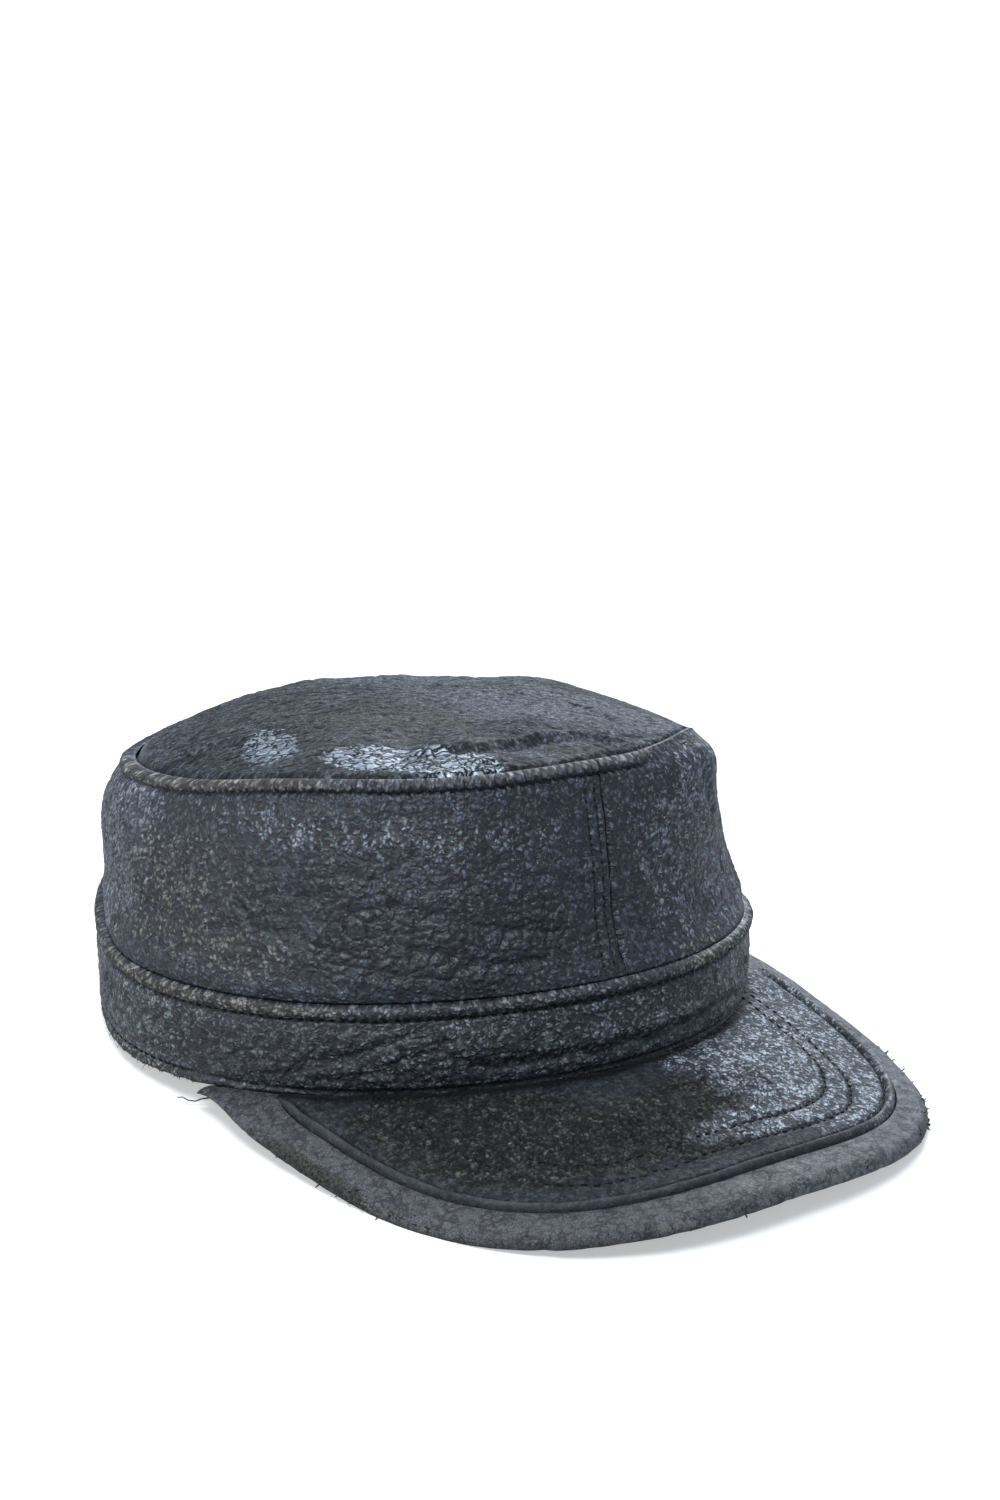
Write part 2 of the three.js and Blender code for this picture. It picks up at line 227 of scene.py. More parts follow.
def cut_piece(name, outer, inner, ring, along, across, masks, finishes):
    """A closed piece of leather. Outer and inner sides are columns and rows of points from the same edge
    to the other; along and across are the places of the outer side's points on the flat leather."""
    section = lay_down(np.concatenate([outer, inner[:, ::-1]], 1))
    columns, rows = section.shape[:2]
    outer_rows, inner_rows = outer.shape[1], inner.shape[1]
    index = np.arange(columns * rows).reshape(columns, rows)
    following = np.roll(index, -1, 0)
    spans = columns if ring else columns - 1
    quads = np.stack([index, following, np.roll(following, -1, 1), np.roll(index, -1, 1)], -1)[:spans]
    back_rows = np.linspace(0, outer_rows - 1, inner_rows).round().astype(int)
    flat_u = np.concatenate([along, along[:, back_rows][:, ::-1]], 1)
    flat_v = np.concatenate([across, across[:, back_rows][:, ::-1]], 1)
    next_u, next_v = np.roll(flat_u, -1, 0), np.roll(flat_v, -1, 0)
    if ring:
        next_u[-1] = 2 * flat_u[-1] - flat_u[-2]
    corners_u = np.stack([flat_u, next_u, np.roll(next_u, -1, 1), np.roll(flat_u, -1, 1)], -1)[:spans]
    corners_v = np.stack([flat_v, next_v, np.roll(next_v, -1, 1), np.roll(flat_v, -1, 1)], -1)[:spans]
    flat = np.stack([corners_u, corners_v], -1).reshape(-1, 4, 2) * FLAT_UNITS_PER_MM
    faces = quads.reshape(-1, 4)
    finish = np.zeros((spans, rows), int)
    finish[:, outer_rows : rows - 1] = 1
    finish = finish.ravel().tolist()
    p = section.reshape(-1, 3)
    fan = p[faces[:, 0]] * np.cross(p[faces[:, 1]], p[faces[:, 2]])
    inside_out = fan.sum() + (p[faces[:, 0]] * np.cross(p[faces[:, 2]], p[faces[:, 3]])).sum() < 0
    faces = faces.tolist()
    flat = flat.reshape(-1, 2).tolist()
    if not ring:
        for end in (index[0], index[-1][::-1]):
            faces.append(end.tolist())
            flat += [(0, 0)] * rows
            finish.append(0)
    mesh = bpy.data.meshes.new(name)
    mesh.from_pydata(p.tolist(), [], faces)
    mesh.uv_layers.new(name="flat leather").data.foreach_set("uv", np.ravel(flat))
    mesh.polygons.foreach_set("use_smooth", np.ones(len(faces), bool))
    mesh.polygons.foreach_set("material_index", finish)
    if not ring:
        mesh.polygons[-1].use_smooth = False
        mesh.polygons[-2].use_smooth = False
    for mask, values in masks.items():
        both = np.concatenate([values, np.zeros((columns, inner_rows))], 1)
        mesh.attributes.new(mask, "FLOAT", "POINT").data.foreach_set("value", both.ravel())
    if inside_out:
        mesh.flip_normals()
    for material in finishes:
        mesh.materials.append(material)
    piece = bpy.data.objects.new(name, mesh)
    bpy.context.scene.collection.objects.link(piece)
    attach(piece, "root")
    return piece


def place(tree, kind, inputs, **settings):
    """Adds a shader node; each input is a value or another node's output."""
    node = tree.nodes.new(kind)
    for setting, value in settings.items():
        setattr(node, setting, value)
    for socket, value in inputs.items():
        if isinstance(value, bpy.types.NodeSocket):
            tree.links.new(value, node.inputs[socket])
        else:
            node.inputs[socket].default_value = value
    return node


def reckon(tree, operation, *values, clamp=False):
    node = place(tree, "ShaderNodeMath", dict(enumerate(values)), operation=operation, use_clamp=clamp)
    return node.outputs[0]


def times(tree, *values, clamp=False):
    return reckon(tree, "MULTIPLY", *values, clamp=clamp)


def times_plus(tree, *values, clamp=False):
    """The first value times the second, plus the third."""
    return reckon(tree, "MULTIPLY_ADD", *values, clamp=clamp)


def one_minus(tree, value):
    return reckon(tree, "SUBTRACT", 1.0, value)


def ramp(tree, value, low, high, start=0.0, end=1.0):
    """A smooth step from start to end as the value goes from low to high."""
    ends = {"Value": value, "From Min": low, "From Max": high, "To Min": start, "To Max": end}
    return place(tree, "ShaderNodeMapRange", ends, interpolation_type="SMOOTHSTEP").outputs[0]


def tint(tree, amount, below, above):
    """One colour laid over another where the amount is high."""
    return place(tree, "ShaderNodeMix", {0: amount, 6: below, 7: above}, data_type="RGBA").outputs[2]


def stretch(tree, where, sizes):
    return vector(tree, "MULTIPLY", where, sizes)


def vector(tree, operation, first, second, out="Vector"):
    return place(tree, "ShaderNodeVectorMath", {0: first, 1: second}, operation=operation).outputs[out]


def noise(tree, where, scale, detail, roughness):
    inputs = {"Vector": where, "Scale": scale, "Detail": detail, "Roughness": roughness}
    return place(tree, "ShaderNodeTexNoise", inputs).outputs["Fac"]


def swirled(tree, where, scale, detail, amount, middle=(0, 0, 0)):
    """The place moved about a little, so that a regular pattern drawn there looks grown."""
    inputs = {"Vector": where, "Scale": scale, "Detail": detail}
    shift = place(tree, "ShaderNodeTexNoise", inputs).outputs["Color"]
    shift = vector(tree, "SUBTRACT", shift, middle)
    shift = place(tree, "ShaderNodeVectorMath", {0: shift, "Scale": amount}, operation="SCALE").outputs[0]
    return vector(tree, "ADD", where, shift)


def cells(tree, where, scale):
    """Cells of irregular shape: distance from each middle, distance to the edge, and the cell's colour."""
    inputs = {"Vector": where, "Scale": scale}
    middle = place(tree, "ShaderNodeTexVoronoi", inputs).outputs
    edge = place(tree, "ShaderNodeTexVoronoi", inputs, feature="DISTANCE_TO_EDGE").outputs["Distance"]
    return middle["Distance"], edge, middle["Color"]


def channel(tree, colour, number):
    return place(tree, "ShaderNodeSeparateColor", {0: colour}).outputs[number]


def effect(name, inputs, outputs):
    """A shader node group with named inputs and outputs."""
    tree = bpy.data.node_groups.new(name, "ShaderNodeTree")
    for socket, start in inputs.items():
        kind = "NodeSocketVector" if start is None else "NodeSocketFloat"
        made = tree.interface.new_socket(name=socket, in_out="INPUT", socket_type=kind)
        if start is not None:
            made.default_value = start
    for socket in outputs:
        tree.interface.new_socket(name=socket, in_out="OUTPUT", socket_type="NodeSocketFloat")
    return tree, tree.nodes.new("NodeGroupInput").outputs, tree.nodes.new("NodeGroupOutput")


def send(tree, ends, results):
    for socket, value in results.items():
        tree.links.new(value, ends.inputs[socket])


def use(tree, group, inputs):
    return place(tree, "ShaderNodeGroup", inputs, node_tree=group).outputs


def new_finish(name):
    """A material with its shader, and the place on the object in millimetres."""
    material = bpy.data.materials.new(name)
    material.use_nodes = True
    tree = material.node_tree
    shader = tree.nodes["Principled BSDF"]
    at = place(tree, "ShaderNodeTexCoord", {}).outputs["Object"]
    where = stretch(tree, at, (1000, 1000, 1000))
    return material, tree, shader, where


def mask_of(tree, name):
    return place(tree, "ShaderNodeAttribute", {}, attribute_name=name).outputs["Fac"]


def finish_leather(tree, shader, colour, roughness, polish, height, depth, sheen=0.5):
    """Feeds the shader: polish is how much hard finish is left, and depth is the relief in millimetres
    where the height is 1."""
    shader.inputs["Specular IOR Level"].default_value = sheen
    bump = place(tree, "ShaderNodeBump", {"Height": height, "Strength": 1.0, "Distance": depth * 0.001})
    tree.links.new(colour, shader.inputs["Base Color"])
    tree.links.new(roughness, shader.inputs["Roughness"])
    tree.links.new(polish, shader.inputs["Metallic"])
    tree.links.new(bump.outputs[0], shader.inputs["Normal"])


# Pebbled grain: rounded grains about a millimetre wide, gathered into plates by deeper wrinkles, with painted
# shade in the cracks between plates and the gaps between grains
pebbled_grain, start, end = effect(
    "pebbled grain",
    {"Where": None, "Grains": 1.3, "Plate Width": 3.4, "Plate Height": 2.0, "Warp": 2.0},
    ("Height", "Crevice Shade", "Grain Tone"),
)
tree = pebbled_grain
spot = swirled(tree, start["Where"], 0.5, 3.0, start["Warp"], (0.5, 0.5, 0.5))
grain_middle, grain_edge, grain_colour = cells(tree, spot, start["Grains"])
grain_tone = channel(tree, grain_colour, 0)
grain = ramp(tree, grain_middle, 0.08, 0.66, 1.0, 0.0)
along = reckon(tree, "DIVIDE", 1.0, start["Plate Width"])
across = reckon(tree, "DIVIDE", 1.0, start["Plate Height"])
shape = place(tree, "ShaderNodeCombineXYZ", {0: along, 1: across, 2: across}).outputs[0]
_, plate_edge, plate_colour = cells(tree, stretch(tree, spot, shape), 1.0)
plate_tone = channel(tree, plate_colour, 1)
broken = ramp(tree, noise(tree, start["Where"], 0.28, 3.0, 0.6), 0.38, 0.6, 0.15, 1.0)
# Painted shade down in the cracks between plates and the gaps between grains
crack = times(tree, ramp(tree, plate_edge, 0.02, 0.2, 1.0, 0.0), broken)
plate = ramp(tree, plate_edge, 0.0, 0.32)
plate = times_plus(tree, reckon(tree, "SUBTRACT", plate, 1.0), broken, 1.0)
lift = times_plus(tree, grain_tone, 0.1, times(tree, grain, 0.45))
height = times_plus(tree, plate, 0.38, lift)
height = times_plus(tree, plate_tone, 0.07, height)
fading = ramp(tree, noise(tree, start["Where"], 0.7, 3.0, 0.6), 0.35, 0.65, 0.25, 0.95)
gap = times(tree, ramp(tree, grain_edge, 0.02, 0.23, 1.0, 0.0), fading)
crevice_shade = reckon(tree, "MAXIMUM", crack, gap)
send(tree, end, {"Height": height, "Crevice Shade": crevice_shade, "Grain Tone": grain_tone})

# Dust and rubbing, and painted sheen: worn leather shows paler and duller on the tops of its grain, never
# down in the crevices, and the same patches on the grain tops also lay a painted pale sheen
wear_and_sheen_tops, start, end = effect("wear and sheen tops", {"Where": None, "Patch Amount": 0.0, "Height": 0.5}, ("Wear And Sheen",))
tree = wear_and_sheen_tops
patchy = noise(tree, start["Where"], 0.16, 5.0, 0.62)
patchy = times_plus(tree, patchy, 0.9, start["Patch Amount"])
patchy = times_plus(tree, start["Height"], 0.55, patchy)
inside = ramp(tree, start["Patch Amount"], 0, 0.25)
send(tree, end, {"Wear And Sheen": times(tree, ramp(tree, patchy, 0.94, 1.34), inside)})


def grain_at(tree, where, grains, plate_width, plate_height, warp):
    """The pebbled grain at a place, with so many grains to the millimetre and plates of the given size."""
    sizes = {"Grains": grains, "Plate Width": plate_width, "Plate Height": plate_height, "Warp": warp}
    return use(tree, pebbled_grain, {"Where": where, **sizes})


def black_pebbled_leather(name, grains, plate, depth, lit_top_colour):
    """Old black cowhide: blue-black, with painted shade in its crevices and creases, painted light that makes
    the tops of its grains greyer, patches of painted pale blue-grey sheen, and tan where the finish is rubbed
    off."""
    material, tree, shader, _ = new_finish(name)
    flat = place(tree, "ShaderNodeUVMap", {}, uv_map="flat leather").outputs[0]
    where = stretch(tree, flat, (1 / FLAT_UNITS_PER_MM,) * 3)
    grain = grain_at(tree, where, grains, plate, plate * 0.5, 2.6)
    worn = {"Where": where, "Height": grain["Height"]}
    rubbed = use(tree, wear_and_sheen_tops, {**worn, "Patch Amount": mask_of(tree, "tan")})["Wear And Sheen"]
    painted_sheen = use(tree, wear_and_sheen_tops, {**worn, "Patch Amount": mask_of(tree, "painted_sheen")})["Wear And Sheen"]
    crease_shade = mask_of(tree, "crease_shade")
    broad = noise(tree, where, 0.07, 5.0, 0.6)
    speck = noise(tree, where, 1.0, 3.0, 0.65)
    # Painted light: the tops of the grains are coloured lighter, with random speckle and broad changes of
    # tone mixed in
    top = ramp(tree, grain["Height"], 0.32, 0.78)
    lit_grain_and_tone = times(tree, top, times_plus(tree, grain["Grain Tone"], 0.55, 0.55))
    lit_grain_and_tone = reckon(tree, "ADD", lit_grain_and_tone, ramp(tree, speck, 0.48, 0.64, -0.06, 0.32))
    lit_grain_and_tone = times(tree, lit_grain_and_tone, ramp(tree, broad, 0.3, 0.7, 0.68, 1.05), clamp=True)
    colour = tint(tree, lit_grain_and_tone, (0.009, 0.011, 0.016, 1), lit_top_colour)
    # Painted pale blue-grey sheen, laid over the grain in patches
    pale = tint(tree, lit_grain_and_tone, (0.055, 0.066, 0.084, 1), (0.38, 0.43, 0.5, 1))
    colour = tint(tree, times(tree, painted_sheen, 0.75), colour, pale)
    tanned = tint(tree, lit_grain_and_tone, (0.035, 0.034, 0.03, 1), (0.29, 0.277, 0.23, 1))
    colour = tint(tree, times(tree, rubbed, 0.8), colour, tanned)
    # Painted shade in the crevices of the grain and along the creases
    dark = reckon(tree, "MAXIMUM", times(tree, grain["Crevice Shade"], 0.92), crease_shade)
    colour = tint(tree, dark, colour, (0.004, 0.005, 0.007, 1))
    shine = ramp(tree, grain["Grain Tone"], 0.0, 1.0, 0.58, 0.42)
    shine = times_plus(tree, rubbed, 0.2, shine, clamp=True)
    polish = times(tree, lit_grain_and_tone, one_minus(tree, dark))
    polish = times(tree, polish, times_plus(tree, rubbed, -0.3, 0.4), clamp=True)
    finish_leather(tree, shader, colour, shine, polish, grain["Height"], depth)
    return material


def flesh_side(name):
    """The raw inner side of the hide: dull grey-brown, with short matted fibres."""
    material, tree, shader, where = new_finish(name)
    nap = noise(tree, where, 2.2, 5.0, 0.7)
    blotch = noise(tree, where, 0.06, 3.0, 0.5)
    colour = tint(tree, ramp(tree, blotch, 0.3, 0.7), (0.028, 0.025, 0.021, 1), (0.052, 0.047, 0.04, 1))
    colour = tint(tree, ramp(tree, nap, 0.35, 0.7, 0.0, 0.7), colour, (0.016, 0.015, 0.013, 1))
    shine = ramp(tree, nap, 0.3, 0.7, 0.95, 0.82)
    finish_leather(tree, shader, colour, shine, ramp(tree, nap, 0.9, 1.0), nap, 0.3)
    return material


band_angles = np.linspace(-math.pi, math.pi, BAND_COLUMNS, endpoint=False)
band_heights = np.concatenate([
    np.linspace(0, 5, 15),
    np.linspace(5.5, 19.8, 26),
    np.linspace(20.4, BAND_HEIGHT, 21),
])
BAND_CREASES = from_degrees([
    (((-92, 18), (-86, 11), (-83, 3)), 0.5, 1.5),
    (((-79, 16), (-76, 9), (-74, 3)), 0.55, 1.3),
    (((-71, 14), (-68, 7), (-66, 2)), 0.4, 1.3),
    (((-60, 7), (-48, 12), (-38, 19)), 0.45, 1.4),
    (((-52, 4), (-42, 9), (-33, 15)), 0.4, 1.3),
    (((-30, 14), (-12, 13), (4, 12.4), (16, 12.6), (32, 12)), -0.55, 2.6),
    (((-28, 8.5), (-8, 8.6), (10, 8.4), (30, 8.6)), 0.6, 1.7),
    (((26, 6), (33, 9), (36, 15)), 0.5, 1.5),
]) + chance_creases(11, 70, (-280, 280), (5, 20), 70, 11, 0.28, 1.1)


def band_side(angle, height, out):
    radius = round_the_head(BAND_RADIUS, angle) + out
    return np.stack([radius * np.sin(angle), -radius * np.cos(angle), height + hem_height(angle)], -1)


angle, height = np.meshgrid(band_angles, band_heights, indexing="ij")
outer = band_side(angle, height, follow(BAND_OUTER["height"], BAND_OUTER["out"], height))
degrees = np.degrees(angle)
u, v = degrees * MM_PER_DEGREE, height
wavy_u, wavy_v = u + 1.5 * rumple(outer, 7, 1), v + 1.2 * rumple(outer, 8, 2)
free = np.clip((height - 4.5) / 2, 0, 1) * np.clip((20.6 - height) / 2, 0, 1)
relief = creased(wavy_u, wavy_v, BAND_CREASES) + 0.5 * rumple(outer, 11, 3) + 0.18 * rumple(outer, 4, 4)
relief *= free
free = free * np.clip((180 - np.abs(degrees)) / 1.5, 0, 1)
swelling, line = puffs(wavy_u, wavy_v, 4.6, 2.6, 0.7, 12)
fine_swelling, fine_line = puffs(u + 0.4 * rumple(outer, 2, 13), v, 2.1, 1.5, 0.55, 14)
wrinkled = 0.35 + 0.65 * spots(degrees, height, [(-40, 11, 40, 9, 0, 1.0), (-88, 10, 20, 9, 0, 0.7)])
relief += free * (0.5 * wrinkled * swelling + 0.2 * fine_swelling - 0.2)
# Painted shade along the creases between the grain's swellings
crease_shade = free * np.maximum(line * wrinkled, fine_line * 0.5)
on_rib = np.exp(-(((height - RIB_MIDDLE) / 1.7) ** 4))
pull = np.cos(2 * math.pi * (u + 0.5 * rumple(outer, 6, 5)) / 2.7)
relief += on_rib * (0.2 * pull + 0.25 * rumple(outer, 9, 6) + 0.15 * rumple(outer, 2.5, 7))
# Behind the root of the peak the band is pressed in, and painted shadow darkens the joint
in_front = 1 / (1 + np.exp((np.abs(degrees) - PEAK_HALF_TURN) / 2.0))
root = np.maximum(peak_slope(outer[..., 0], outer[..., 1]) - hem_height(angle), 0)
relief -= in_front * 1.0 / (1 + np.exp((height - root - 0.9) / 0.4))
near_hem = np.exp(-((height / 2.6) ** 4)) * (1 - in_front)
relief += near_hem * (0.22 * rumple(outer, 5, 8) + 0.2 * rumple(outer, 1.6, 9))
outer = outer + outwards(outer, True) * relief[..., None]
outer[:, 0, 2] += 0.35 * rumple(outer[:, 0], 1.5, 10)
# Painted shade in the grooves of the rib's and the hem's stitch rows, and painted shadow in the joint over
# the peak's root
crease_shade = np.maximum(crease_shade, 0.85 * np.exp(-(((height - RIB_ROW) / 0.5) ** 2)))
crease_shade = np.maximum(crease_shade, 0.6 * (1 - in_front) * np.exp(-(((height - HEM_ROW) / 0.45) ** 2)))
crease_shade = np.maximum(crease_shade, in_front * 0.97 * np.clip((root + 2.4 - height) / 1.6, 0, 1))
band_inner_heights = np.linspace(0, BAND_HEIGHT, 8)
angle_in, height_in = np.meshgrid(band_angles, band_inner_heights, indexing="ij")
inner = band_side(angle_in, height_in, -BAND_LEATHER + 0.3 * rumple(band_side(angle_in, height_in, 0), 11, 3))
tan = np.maximum(
    on_rib * spots(degrees, height, [(-88, 24, 38, 9, 0, 1.4), (26, 24, 14, 9, 0, 1.2)]),
    near_hem * spots(degrees, height, [(-95, 0, 45, 8, 0, 0.9)]),
)
tan = np.maximum(tan, spots(degrees, height, [(19, 17, 4, 3, 10, 0.7), (-70, 16, 10, 6, 0, 0.25)]))
tan = np.maximum(tan, 0.22 * on_rib)
# Patches of painted pale blue-grey sheen, on the band's sides and along the raised fold across its front
painted_sheen = spots(degrees, height, [
    (32, 16, 13, 14, 0, 1.2), (75, 14, 30, 16, 0, 0.6), (-90, 11, 16, 12, 60, 0.6), (6, 13, 26, 3.0, 0, 0.5),
    (-118, 12, 18, 14, 0, 0.6), (-5, 14, 50, 9, 0, 0.35),
])
band_leather = black_pebbled_leather("black pebbled leather, band", 0.84, 2.8, 0.42, (0.165, 0.182, 0.215, 1))
flesh = flesh_side("flesh side of the leather")
band_skin = (outer, u, v)
band = cut_piece(
    "leather_band", outer, inner, True, u, v,
    {"tan": tan, "painted_sheen": painted_sheen, "crease_shade": crease_shade}, (band_leather, flesh),
)
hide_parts("band")

# Wall of the crown: two side panels of the same pebbled hide, sewn together down the front and the back.
# Each is tucked in behind the band's rib, and its upper edge is turned out into the puckered crown seam.
SEAM_RADIUS = (85.5, 81.0, 76.0, 73.8, 79.0, 83.4, 81.6, 84.9, 80.7, 78.0, 79.6, 84.4)
SEAM_HEIGHT = (64.3, 63.4, 67.1, 72.2, 80.0, 83.2, 83.6, 81.0, 75.2, 73.0, 68.5, 65.6)
LOW_BULGE = (0.2, -0.6, -1.0, -0.5, 0, -0.5, -3.0, -6.4, -0.4, -0.3, 0, 0)
HIGH_BULGE = (3.6, 5.0, 4.4, 2.6, 1.8, 2.0, 1.7, 3.4, 0.2, 1.8, 2.9, 3.4)
SEAM_GAP = 0.3
WALL_LEATHER = 1.5
TIP_LEATHER = 1.6
TIP_CENTRE_Y = 3
CROWN_RADIUS = 82
FRONT_SEAM_DRIFT = math.radians(-1.5)
PUCKER = 2.6
RIB_TOP = 0.3
ROLL_OVER = 2.2
FRONT_ROWS = (-3.2, -6.3)
FRONT_PITCH = 2.3
PANEL_COLUMNS = 640
BULGE_SCALE = 6.75
SHAPED_EDGE = 6
SHOULDER_RISE = 2.4
SHOULDER_AT = 31
SHOULDER_HALF = 12
ROLLED_FROM = 13
ROLLED_TO = 84
WALL_FOOT = {"up": (0, 1.0, 2.2, 4.0, 6.0), "out": (-1.2, -0.9, -0.4, -0.1, 0)}
WALL_HEAD = {
    "down": (0, 0.4, 0.9, 1.5, 2.1, 2.6, 3.0, 3.7, 6.0),
    "out": (-0.7, 0.35, 0.9, 1.05, 0.75, 0.1, -0.55, -0.15, 0),
}
WALL_CREASES = from_degrees([
    (((-103, 60), (-101.5, 55.7), (-98, 49), (-95.3, 43), (-94, 38)), 0.7, 1.7),
    (((-99, 58), (-95, 52), (-91, 47)), 0.5, 1.6),
    (((-40, 52), (-32, 48.3), (-23, 45), (-12.6, 44.3)), 0.55, 1.5),
    (((-37, 41), (-27, 36.8), (-17, 36.4)), 0.6, 1.4),
    (((-52, 38), (-44, 35), (-34, 33)), 0.45, 1.5),
    (((-68, 47), (-60, 42), (-52, 40)), 0.4, 1.5),
    (((30, 75), (29.7, 67.4), (33.4, 60)), 0.9, 1.8),
    (((22, 70), (27, 60), (30, 50)), 0.5, 1.5),
    (((70, 60), (84, 54), (100, 56)), 0.7, 2.2),
    (((120, 50), (140, 44), (165, 47)), 0.8, 2.4),
    (((-172, 48), (-162, 43), (-150, 46)), 0.6, 2.4),
])


def wall_point(angle, part, out):
    """A point of the wall, where part goes from 0 at the band to 1 at the crown seam."""
    low = round_the_head(LOW_BULGE, angle) * BULGE_SCALE * part * (1 - part) ** 2
    high = round_the_head(HIGH_BULGE, angle) * BULGE_SCALE * part**2 * (1 - part)
    radius = round_the_head(BAND_RADIUS, angle) * (1 - part) + round_the_head(SEAM_RADIUS, angle) * part
    radius = radius + low + high + out
    foot = BAND_HEIGHT + hem_height(angle) + SEAM_GAP
    head = round_the_head(SEAM_HEIGHT, angle) - RIB_TOP + SHOULDER_RISE * shoulder(angle)
    y = TIP_CENTRE_Y * part - radius * np.cos(angle)
    return np.stack([radius * np.sin(angle), y, foot + (head - foot) * part], -1)


def shoulder(angle):
    """Where the crown is pinched up into a rounded corner, at the front on the wearer's left."""
    return np.exp(-(((np.degrees(angle) - SHOULDER_AT) / SHOULDER_HALF) ** 2))


def rolled(angle):
    """Where the wall rolls over smoothly into the crown seam, and has no rib."""
    degrees = np.degrees(angle)
    before = np.exp(np.clip((ROLLED_FROM - degrees) / 2.0, -30, 30))
    after = np.exp(np.clip((degrees - ROLLED_TO) / 5, -30, 30))
    return 1 / (1 + before) / (1 + after)


def panel_side(turns, up_rows, middle_rows, down_rows, out_of):
    """Points of a panel's side, with its height above the band and below the crown seam at each point."""
    turn = turns[:, None]
    foot = BAND_HEIGHT + hem_height(turn) + SEAM_GAP
    tall = round_the_head(SEAM_HEIGHT, turn) - RIB_TOP - foot
    up = up_rows[None, :] + 0 * turn
    middle = SHAPED_EDGE + (tall - 2 * SHAPED_EDGE) * middle_rows[None, :]
    high = np.concatenate([up, middle, tall - down_rows[None, :]], 1)
    part = high / tall
    drift = FRONT_SEAM_DRIFT * (1 - part) * (1 - np.abs(turn) / math.pi)
    angle = turn + drift
    return wall_point(angle, part, out_of(high, tall - high)), angle, high, tall - high


def wall_out(up, down, no_rib):
    """How far the wall stands out: tucked in at its foot, and turned out into a rib at its head."""
    foot = follow(WALL_FOOT["up"], WALL_FOOT["out"], np.minimum(up, SHAPED_EDGE))
    head = follow(WALL_HEAD["down"], WALL_HEAD["out"], np.clip(down, 0, SHAPED_EDGE))
    return foot + head * (1 - no_rib) - ROLL_OVER * no_rib * np.exp(-((down / 3.2) ** 2))


def wall_in(up, down, no_rib):
    thinner_edge = 0.6 * np.exp(-((down / 1.5) ** 2))
    return np.minimum(wall_out(up, down, no_rib), 0) - WALL_LEATHER + thinner_edge


